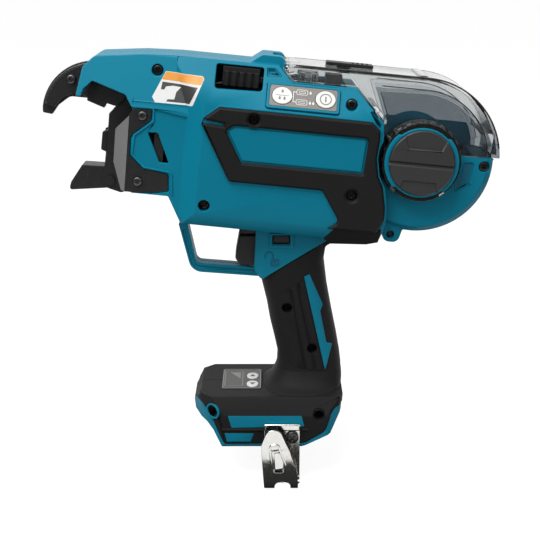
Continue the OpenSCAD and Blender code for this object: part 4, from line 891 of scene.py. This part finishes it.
leftLip = flatPiece("leftBumperLip", [grown(lipLoop, bumper["lip"]), grown(lipLoop, bumper["lipGap"])],
                    bumper["lipThick"], bumper["lipRound"], barrelSide(bumper["lipAt"]))
# the wrap takes the lip's place at the lower rear
carve(leftLip, prism(box(*bumper["lipGone"]), 5, 12, barrelSide(bumper["lipGoneAt"])))
for piece, node in ((leftBumper, "left_bumper"), (rightBumper, "right_bumper")):
    evenShading(piece, 25)
    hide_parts(node)
    fit(piece, "elastomer")
fitPair(leftLip, "rightBumperLip", "tealNylon")
print("bumpers made")

# far wall of the reel bay, seen through the cover, in a lighter teal that is painted light
bay = {"front": [(71.5, 20), (71.5, 5)], "rear": [(133.5, 5), (133.0, 10), (130.6, 17), (128.5, 20)],
       "flange": 24.2, "flangeFrom": 55.8, "flangeTo": 124.2, "hole": 15.2, "thick": 1.0, "at": 22.4}
bayLoop = bay["front"] + bay["rear"] + arcOf(bay["flange"], bay["flangeFrom"], bay["flangeTo"])
bayWall = flatPiece("reelBayWall", [bayLoop, ring(reelCentre, bay["hole"], 48)], bay["thick"], 0.1,
                    barrelSide(bay["at"]))
fit(bayWall, "tealPaintedLight")

# black beads along the cover's edge and its step: painted dark reflection, where the clear plastic shows dark
# lines
coverDarkLines = {"coverEdge": {"radius": 0.5, "across": 21.6, "arc": 50.6, "starts": (11, 60), "end": 13},
              "coverSeam": {"radius": 0.32, "across": 22.1, "arc": 43.3, "starts": (66,), "end": 14}}
for name, shape in coverDarkLines.items():
    points = [(start, shape["arc"]) for start in shape["starts"]] + arcOf(shape["arc"], 90, shape["end"], 24)
    for side, across in (("Left", -shape["across"]), ("Right", shape["across"])):
        bead = beadLine(name + side, points, shape["radius"], barrelSide(across))
        fit(bead, "glossNylon", "reel_cover")

# cap of the cover latch with grip ribs
latch = {"box": (30.5, -5.6, 60.5, 5.6, 1.2), "high": 2.2, "from": 51.05, "edge": 0.5,
         "ribs": (47, 50, 53, 56), "ribWide": 1.3, "ribHalf": 4.2, "ribDeep": 0.7}
coverTop = plane(onBarrel(0, 0, latch["from"]), barrelAlong, Vector((0, 1, 0)))
latchLoop = softCorners(box(*latch["box"]))
latchCap = flatPiece("coverLatchCap", [latchLoop], latch["high"], latch["edge"], coverTop)
for start in latch["ribs"]:
    rib = box(start, -latch["ribHalf"], start + latch["ribWide"], latch["ribHalf"])
    carve(latchCap, prism(rib, latch["high"] + 1, 1 + latch["ribDeep"], coverTop))
evenShading(latchCap)
fit(latchCap, "blackNylon", "cover_latch")

# reel knob: pocketed rim, teal ring that is wider at the sides, cap with a groove and two sunk segments
knob = {"radius": 26.0, "taper": 0.945, "high": 10.0, "back": -25.5, "axle": 4.8, "axleLong": 48.0,
        "sides": 96, "pocketRim": 0.8, "pocketDeep": 2.2, "edge": 0.35,
        "ringWide": 23.1, "ringThin": 21.7, "ringIn": 20.4, "ringTurn": 0.69, "ringThick": 4.6,
        "ringAt": -32.7,
        "cap": 20.3, "capThick": 6.5, "capRound": 0.7, "capAt": -33.0, "capFace": -39.5,
        "sunk": [([(-14.5, 22), (-9, 8.6), (11.5, 8.6), (16.5, 22)], 1.0),
                 ([(-13.5, -22), (-10.5, -11.5), (10, -11.5), (13, -22)], 1.0),
                 ([(-22, -0.2), (22, -0.2), (22, -2.0), (-22, -2.0)], 0.8)],
        "capEdge": 0.5, "markFrame": (-1.7, -0.55, 1.7, 0.55, 0.5, 0.25), "markBar": (-1.8, -0.5, 1.8, 0.5),
        "markThick": 0.3, "markEdge": 0.05, "markAt": -35.4, "markOut": 23.6}


def atReel(across):
    return barrelSide(across) @ shift(*reelCentre)


def isPocket(face):
    # three of every four sides of the rim
    pitch = 360 / knob["sides"]
    turn = int(round((math.degrees(math.atan2(face.center.y, face.center.x)) % 360) / pitch - 0.5))
    return abs(face.normal.z) < 0.5 and turn % 4 != 0


knobBody = turned("knobBody", knob["sides"], knob["radius"], knob["high"])
for spot in knobBody.data.vertices:   # the rim tapers to the front
    if spot.co.z > knob["high"] / 2 * mm:
        spot.co.x *= knob["taper"]
        spot.co.y *= knob["taper"]
choose(knobBody, "FACE", isPocket)
bpy.ops.mesh.inset(thickness=knob["pocketRim"] * mm, depth=-knob["pocketDeep"] * mm)
choose(knobBody, "FACE", lambda face: face.normal.z < -0.9 and face.center.z < 0.1 * mm)
bpy.ops.mesh.inset(thickness=(knob["radius"] - knob["axle"]) * mm)
bpy.ops.mesh.extrude_region_move(TRANSFORM_OT_translate={"value": (0, 0, -knob["axleLong"] * mm)})
settle(knobBody, atReel(knob["back"]))
roundEdges(knobBody, knob["edge"])
ringLoop = []
for along, up in ring((0, 0), 1, knob["sides"]):
    radius = knob["ringWide"] if abs(along) > knob["ringTurn"] else knob["ringThin"]
    ringLoop.append((radius * along, radius * up))
knobRing = flatPiece("knobRing", [ringLoop, ring((0, 0), knob["ringIn"], knob["sides"])], knob["ringThick"],
                     knob["edge"], atReel(knob["ringAt"]))
knobCap = flatPiece("knobCap", [ring((0, 0), knob["cap"], knob["sides"])], knob["capThick"], knob["capRound"],
                    atReel(knob["capAt"]))
for loop, deep in knob["sunk"]:
    carve(knobCap, prism(loop, 1, 1 + deep, atReel(knob["capFace"])))
roundEdges(knobCap, knob["capEdge"], 40, 1)
for piece, node, finish in ((knobBody, "reel_knob", "glossNylon"), (knobRing, "knob_ring", "tealNylon"),
                            (knobCap, "knob_cap", "capNylon")):
    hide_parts(node)
    fit(piece, finish, "reel_knob")
for name, loops, angle, tone in (
        ("knobMarkA", frameLoops(*knob["markFrame"]), 228, "greyFilm"),
        ("knobMarkB", [box(*knob["markBar"])], 309, "whiteAbs")):
    turn = Matrix.Rotation(math.radians(angle + 90), 4, "Z")
    mark = flatPiece(name, loops, knob["markThick"], knob["markEdge"],
                     atReel(knob["markAt"]) @ turn @ shift(0, -knob["markOut"]))
    fit(mark, tone, "reel_knob")
print("knob made")

# nose: teal lip round the side plate and a grey strip along the curl arm's rim, a painted highlight
nose = {"lip": [(-73.6, 16.0), (-73.2, 8.6), (-84.6, -1.2), (-85.4, -13.2), (-77.4, -20.8), (-60.8, -22.4),
                (-59.8, -24.0), (-58.6, -36.6)], "lipRadius": 0.8, "lipAt": -29.1,
        "armCentre": (-113, 5), "rimOut": 33.0, "rimIn": 31.4, "rimFrom": 172, "rimTo": 100,
        "rimThick": 0.6, "rimEdge": 0.2, "rimAt": -4.15}
noseLip = beadLine("leftNoseLip", nose["lip"], nose["lipRadius"], barrelSide(nose["lipAt"]))
fitPair(noseLip, "rightNoseLip", "tealNylon")
rimLoop = (arcOf(nose["rimOut"], nose["rimFrom"], nose["rimTo"], 16, nose["armCentre"])
           + arcOf(nose["rimIn"], nose["rimTo"], nose["rimFrom"], 16, nose["armCentre"]))
armRimHighlight = flatPiece("leftArmHighlight", [rimLoop], nose["rimThick"], nose["rimEdge"], barrelSide(nose["rimAt"]))
fitPair(armRimHighlight, "rightArmHighlight", "greyPaintedSheen")

# handle: raised frame of the lock bolt, open padlock, ribbed panel and teal strip
handle = {"frame": [(-0.4, 122.6, 0.8), (15.4, 122.6, 0.8), (15.4, 132.2), (-0.4, 132.2)],
          "hole": [(1.2, 124.4, 0.4), (13.4, 124.4, 0.4), (13.4, 131.4), (1.2, 131.4)], "face": -17.2,
          "frameThick": 1.4, "frameEdge": 0.35,
          "shackle": [(-3.2, 115.6), (-3.1, 117.6), (-2.3, 119.2), (-0.8, 119.9), (0.8, 119.4), (1.7, 118.0),
                      (1.9, 114.8)],
          "shackleRadius": 0.5, "shackleAt": -17.55, "signBox": (0.4, 110.2, 5.9, 114.8, 1.0, 0.8),
          "signEye": (3.1, 112.5), "eyeRadius": 0.8, "signThick": 0.9, "signEdge": 0.15,
          "panel": [(2.6, 86.6, 3), (5.1, 90.3, 1), (22.0, 101.0), (35.2, 39.4), (33.6, 37.5),
                    (17.4, 40.0, 3), (12.4, 43.6, 3), (8.4, 60)],
          "panelAt": -10, "panelStart": 20, "panelDepth": 24, "panelProud": 0.5, "panelEdge": 0.2,
          "ribs": [[(13.0, 94.6), (13.7, 94.2), (23.8, 39.0), (23.1, 39.0)],
                   [(17.2, 98.4), (17.9, 98.0), (30.4, 38.4), (29.7, 38.4)]],
          "ribStart": 12, "ribDepth": 30,
          "throat": [(-20.6, 128.9, 0.6), (-6.0, 128.9), (-6.0, 139.0), (-18.9, 139.0)],
          "throatWide": 13.6, "throatRound": 0.9,
          "web": [(33.0, 108.0), (35.0, 115.0, 8), (36.4, 121.4, 4), (41.0, 123.9, 3), (46.0, 124.6),
                  (46.0, 128.0), (30.0, 128.0), (30.0, 108.0)], "webWide": 22.0, "webRound": 2.4,
          "strip": [(22.2, 103.0, 0.6), (25.9, 104.6, 0.6), (34.9, 83.1, 0.8), (33.2, 78.9, 0.8),
                    (37.6, 56.8, 0.8), (41.4, 55.2, 0.8), (36.9, 36.9, 0.4)],
          "stripAt": -8, "stripStart": 20, "stripDepth": 20, "stripProud": 0.95, "stripEdge": 0.6}
lockFrame = flatPiece("lockFrame", [softCorners(handle["frame"]), softCorners(handle["hole"])],
                      handle["frameThick"], handle["frameEdge"], handleSide(handle["face"]))
fit(lockFrame, "tealNylon")
lockParts = [beadLine("shackle", handle["shackle"], handle["shackleRadius"], handleSide(handle["shackleAt"]))]
for name, loops in (("lockBody", frameLoops(*handle["signBox"])),
                    ("lockEye", [ring(handle["signEye"], handle["eyeRadius"], 16)])):
    lockParts.append(flatPiece(name, loops, handle["signThick"], handle["signEdge"],
                               handleSide(handle["face"])))
# the padlock sign is painted a darker teal: painted shade, as of engraved lines
fit(joined(lockParts, "openPadlock"), "tealPaintedShade")
throat = flatPiece("triggerThroat", [softCorners(handle["throat"])], handle["throatWide"],
                   handle["throatRound"], handleSide(handle["throatWide"] / 2), 2)
fit(throat, "blackNylon")
web = flatPiece("handleWeb", [softCorners(handle["web"])], handle["webWide"], handle["webRound"],
                handleSide(handle["webWide"] / 2), 3)
fit(web, "elastomer")
layers = {}
for name in ("panel", "strip"):
    layers[name] = layerOn("left_grip", "grip" + name.capitalize(), softCorners(handle[name]),
                           handleSide(handle[name + "At"]), handle[name + "Start"], handle[name + "Depth"],
                           handle[name + "Proud"], handle[name + "Edge"])
for rib in handle["ribs"]:
    carve(layers["panel"], prism(rib, handle["ribStart"], handle["ribDepth"], handleSide(handle["panelAt"])))
fitPair(layers["panel"], "gripPanelRight", "elastomer")
fitPair(layers["strip"], "gripStripRight", "tealNylon")
print("handle dressed")

# soft root where the grip runs out into the foot: height, front, back and half width of each ring
root = {"rings": [(40, 5.6, 47.0, 15.6), (35, 3.2, 48.3, 18.0), (31, 1.2, 48.6, 20.0), (28, -0.8, 48.6, 22.8),
                  (26, -2.8, 48.4, 25.8), (24.9, -4.4, 48.2, 28.4), (24.1, -5.0, 48.0, 29.8),
                  (23.0, -5.0, 47.8, 29.8)], "sides": 72, "square": 0.75}
deselectAll()
bpy.ops.mesh.primitive_circle_add(vertices=root["sides"], radius=1)
gripRoot = bpy.context.object
gripRoot.name = "gripRoot"
bpy.ops.object.mode_set(mode="EDIT")
bpy.ops.mesh.select_mode(type="EDGE")
for k in range(len(root["rings"]) - 1):
    bpy.ops.mesh.extrude_edges_move()
bpy.ops.object.mode_set(mode="OBJECT")
for i, spot in enumerate(gripRoot.data.vertices):
    low, front, back, half = root["rings"][i // root["sides"]]
    angle = 2 * math.pi * (i % root["sides"]) / root["sides"]
    square = [math.copysign(abs(c) ** root["square"], c) for c in (math.cos(angle), math.sin(angle))]
    spot.co = Vector(((front + back) / 2 + (back - front) / 2 * square[0], half * square[1], low)) * mm
outward(gripRoot)
bpy.ops.object.shade_smooth()
fit(gripRoot, "elastomer")

# foot: bare teal stripe and plate, ridge, teal mouth of the front screw
foot = {"footStripe": [(-27.8, 13.6, 0.4), (20.8, 13.6, 0.4), (22.6, 6.2, 0.4), (-25.3, 5.2, 0.4)],
        "footPlate": [(-30.0, 1.4, 0.4), (-10.6, 1.2, 0.4), (-12.8, -4.6, 0.4), (-28.4, -4.6, 0.4)],
        "plateThick": 0.6, "plateEdge": 0.12, "plateAt": -37.45,
        "ridge": [[(-31.5, 3.6), (-4.2, 3.6)], [(20.4, 3.6), (25.0, 3.6)]],
        "ridgeRadius": 1.3, "ridgeAt": -37.3,
        "mouth": (-37.5, -32.6, 15.0), "mouthOut": (6.0, 40, 0.88), "mouthIn": (4.7, 40, 0.86),
        "mouthThick": 1.6, "mouthSunk": -0.6}
for name in ("footStripe", "footPlate"):
    plate = flatPiece(name, [softCorners(foot[name])], foot["plateThick"], foot["plateEdge"],
                      handleSide(foot["plateAt"]))
    fitPair(plate, name + "Right", "tealNylon")
for i, points in enumerate(foot["ridge"]):
    ridge = beadLine("footRidge" + str(i), points, foot["ridgeRadius"], handleSide(foot["ridgeAt"]))
    fitPair(ridge, "footRidgeRight" + str(i), "elastomer")
slant = plane(Vector(foot["mouth"]), Vector((0.7071, -0.7071, 0)), Vector((0, 0, 1)))
mouth = flatPiece("footMouthRing", [ring((0, 0), *foot["mouthOut"]), ring((0, 0), *foot["mouthIn"])],
                  foot["mouthThick"], 0.4, slant @ shift(0, 0, foot["mouthSunk"]))
fitPair(mouth, "footMouthRingRight", "tealNylon")

# display film over the sunk panel, with a plain scale sign and the two keys
display = {"film": (-32.4, -17.0, -6.0, 19.5, 1.6), "at": 24.4, "filmThick": 0.3, "inkThick": 0.1,
           "window": (-31.0, -13.0, -18.4, 15.6, 1.2, 0.6),
           "sign": [(-27.8, 13.0), (-20.2, 13.0), (-20.2, 0.4)],
           "keys": {"minus": ((-11.9, -9.0), -1), "plus": ((-11.9, 6.0), 1)}, "keyWide": 4.03, "keyLong": 5.6,
           "keyGap": 0.3, "keyThick": 1.5, "keyRound": 0.3, "keyLow": -0.7, "keyTop": 0.8,
           "signHalf": 1.8, "signLow": 1.6, "signTip": 2.2}


def onTop(height):
    return shift(0, 0, display["at"] + height)


def oval(spot, grow):
    wide = display["keyWide"] + grow
    return ring(spot, wide, 32, (display["keyLong"] + grow) / wide)


filmLoop = softCorners(box(*display["film"]))
keyHoles = [oval(spot, display["keyGap"]) for spot, flip in display["keys"].values()]
displayFilm = flatPiece("displayFilm", [filmLoop] + keyHoles, display["filmThick"], 0, onTop(0))
fit(displayFilm, "darkFilm")
for name, loops in (("displayRim", [grown(filmLoop, -0.2), grown(filmLoop, -0.8)]),
                    ("displayFrame", frameLoops(*display["window"])), ("displaySign", [display["sign"]])):
    ink = flatPiece(name, loops, display["inkThick"], 0, onTop(display["filmThick"]))
    fit(ink, "greyFilm")
for name, (spot, flip) in display["keys"].items():
    cap = flatPiece(name + "Cap", [oval(spot, 0)], display["keyThick"], display["keyRound"],
                    onTop(display["keyLow"]))
    half, low, tip = display["signHalf"], display["signLow"] * flip, display["signTip"] * flip
    sign = [(-half, -low), (half, -low), (0, tip)]
    mark = flatPiece(name + "Mark", [sign], display["inkThick"], 0, onTop(display["keyTop"]) @ shift(*spot))
    fit(cap, "whiteAbs", name + "_button")
    fit(mark, "stickerGrey", name + "_button")
print("foot dressed")
for base in bases.values():
    bpy.data.objects.remove(base)

view = {"distance": 780, "elevation": 16, "target": (0, 0, 102.58), "lens": 77.9, "sensor": 36}
rise = math.radians(view["elevation"])
spot = Vector(view["target"]) + view["distance"] * Vector((0, -math.cos(rise), math.sin(rise)))
bpy.ops.object.camera_add(location=spot * mm, rotation=(math.radians(90) - rise, 0, 0))
camera = bpy.context.object
camera.data.lens = view["lens"]
camera.data.sensor_width = view["sensor"]
camera.data.clip_start = 0.01
camera.data.clip_end = 100
bpy.context.scene.camera = camera

# white studio, in metres: glowing floor and sky, one large softbox above, two at the front
studio = {"floor": "#909090", "floorSize": 20, "glow": 0.91, "world": 0.28, "card": "#0a0a0a",
          "flagRadius": 0.42, "flagHigh": 0.28, "flagLow": 0.06, "flagRear": 0.12, "cardSize": 0.24,
          "cardAt": (0, 0.012), "cardHigh": 0.0003,
          "softboxes": {"keyAbove": ((-0.4, -0.5, 1.25), (0, 0, 0.14), (1.0, 0.9), 18),
                        "fillLeft": ((-0.7, -1.1, 0.5), (0, 0, 0.12), (0.8, 0.8), 2.0),
                        "fillRight": ((0.9, -1.0, 0.4), (0, 0, 0.12), (0.8, 0.8), 2.0)}}
white = (1, 1, 1, 1)


def seenDirectly(tree):
    # 1 for rays from the camera, from a reflection or through the cover, 0 for those that light the tool
    rays = addNode(tree, "LightPath").outputs
    seen = rays["Is Camera Ray"]
    for kind in ("Is Glossy Ray", "Is Transmission Ray"):
        seen = addNode(tree, "Math", {"operation": "MAXIMUM"}, {0: seen, 1: rays[kind]}).outputs[0]
    return seen


deselectAll()
lowest = cadBox[0][2]
bpy.ops.mesh.primitive_plane_add(size=studio["floorSize"], location=(0, 0, lowest))
floor = bpy.context.object
floor.name = "studioFloor"
settle(floor)
floorMaterial = bpy.data.materials.new("paintedFloor")
floorMaterial.use_nodes = True
tree = floorMaterial.node_tree
tree.nodes.clear()
glow = addNode(tree, "Math", {"operation": "MULTIPLY"}, {0: seenDirectly(tree), 1: studio["glow"]})
shine = addNode(tree, "Emission", {}, {"Color": white, "Strength": glow.outputs[0]})
paint = addNode(tree, "BsdfDiffuse", {}, {"Color": srgb(studio["floor"])})
both = addNode(tree, "AddShader", {}, {0: shine.outputs[0], 1: paint.outputs[0]})
addNode(tree, "OutputMaterial", {}, {"Surface": both.outputs[0]})
floor.data.materials.append(floorMaterial)

world = bpy.data.worlds.new("studioWorld")
bpy.context.scene.world = world
world.use_nodes = True
tree = world.node_tree
tree.nodes.clear()
level = addNode(tree, "MapRange", {}, {"Value": seenDirectly(tree), "To Min": studio["world"], "To Max": 1.0})
sky = addNode(tree, "Background", {}, {"Color": white, "Strength": level.outputs[0]})
addNode(tree, "OutputWorld", {}, {"Surface": sky.outputs[0]})

# black card round the front of the set and under the tool, seen only in reflections
deselectAll()
flagMiddle = lowest + studio["flagLow"] + studio["flagHigh"] / 2
bpy.ops.mesh.primitive_cylinder_add(vertices=48, radius=studio["flagRadius"], depth=studio["flagHigh"],
                                    end_fill_type="NOTHING", location=(0, 0, flagMiddle))
flag = bpy.context.object
flag.name = "blackFlag"
settle(flag)
editAll(flag)
bpy.ops.mesh.bisect(plane_co=(0, studio["flagRear"], 0), plane_no=(0, 1, 0), clear_outer=True)
bpy.ops.mesh.primitive_plane_add(size=studio["cardSize"],
                                 location=(*studio["cardAt"], lowest + studio["cardHigh"]))
bpy.ops.object.mode_set(mode="OBJECT")
flagMaterial, tree, shader = newMaterial("blackCard")
shader.inputs["Base Color"].default_value = srgb(studio["card"])
shader.inputs["Roughness"].default_value = 0.9
flag.data.materials.append(flagMaterial)
flag.visible_camera = False
flag.visible_shadow = False
flag.visible_diffuse = False
flag.visible_transmission = False
for name, (place, aim, size, power) in studio["softboxes"].items():
    bpy.ops.object.light_add(type="AREA", location=place)
    lamp = bpy.context.object
    lamp.name = name
    lamp.data.shape = "RECTANGLE"
    lamp.data.size, lamp.data.size_y = size
    lamp.data.energy = power
    lamp.rotation_euler = (Vector(aim) - Vector(place)).to_track_quat("-Z", "Y").to_euler()
bpy.context.scene.view_settings.view_transform = "Standard"
print("studio set")
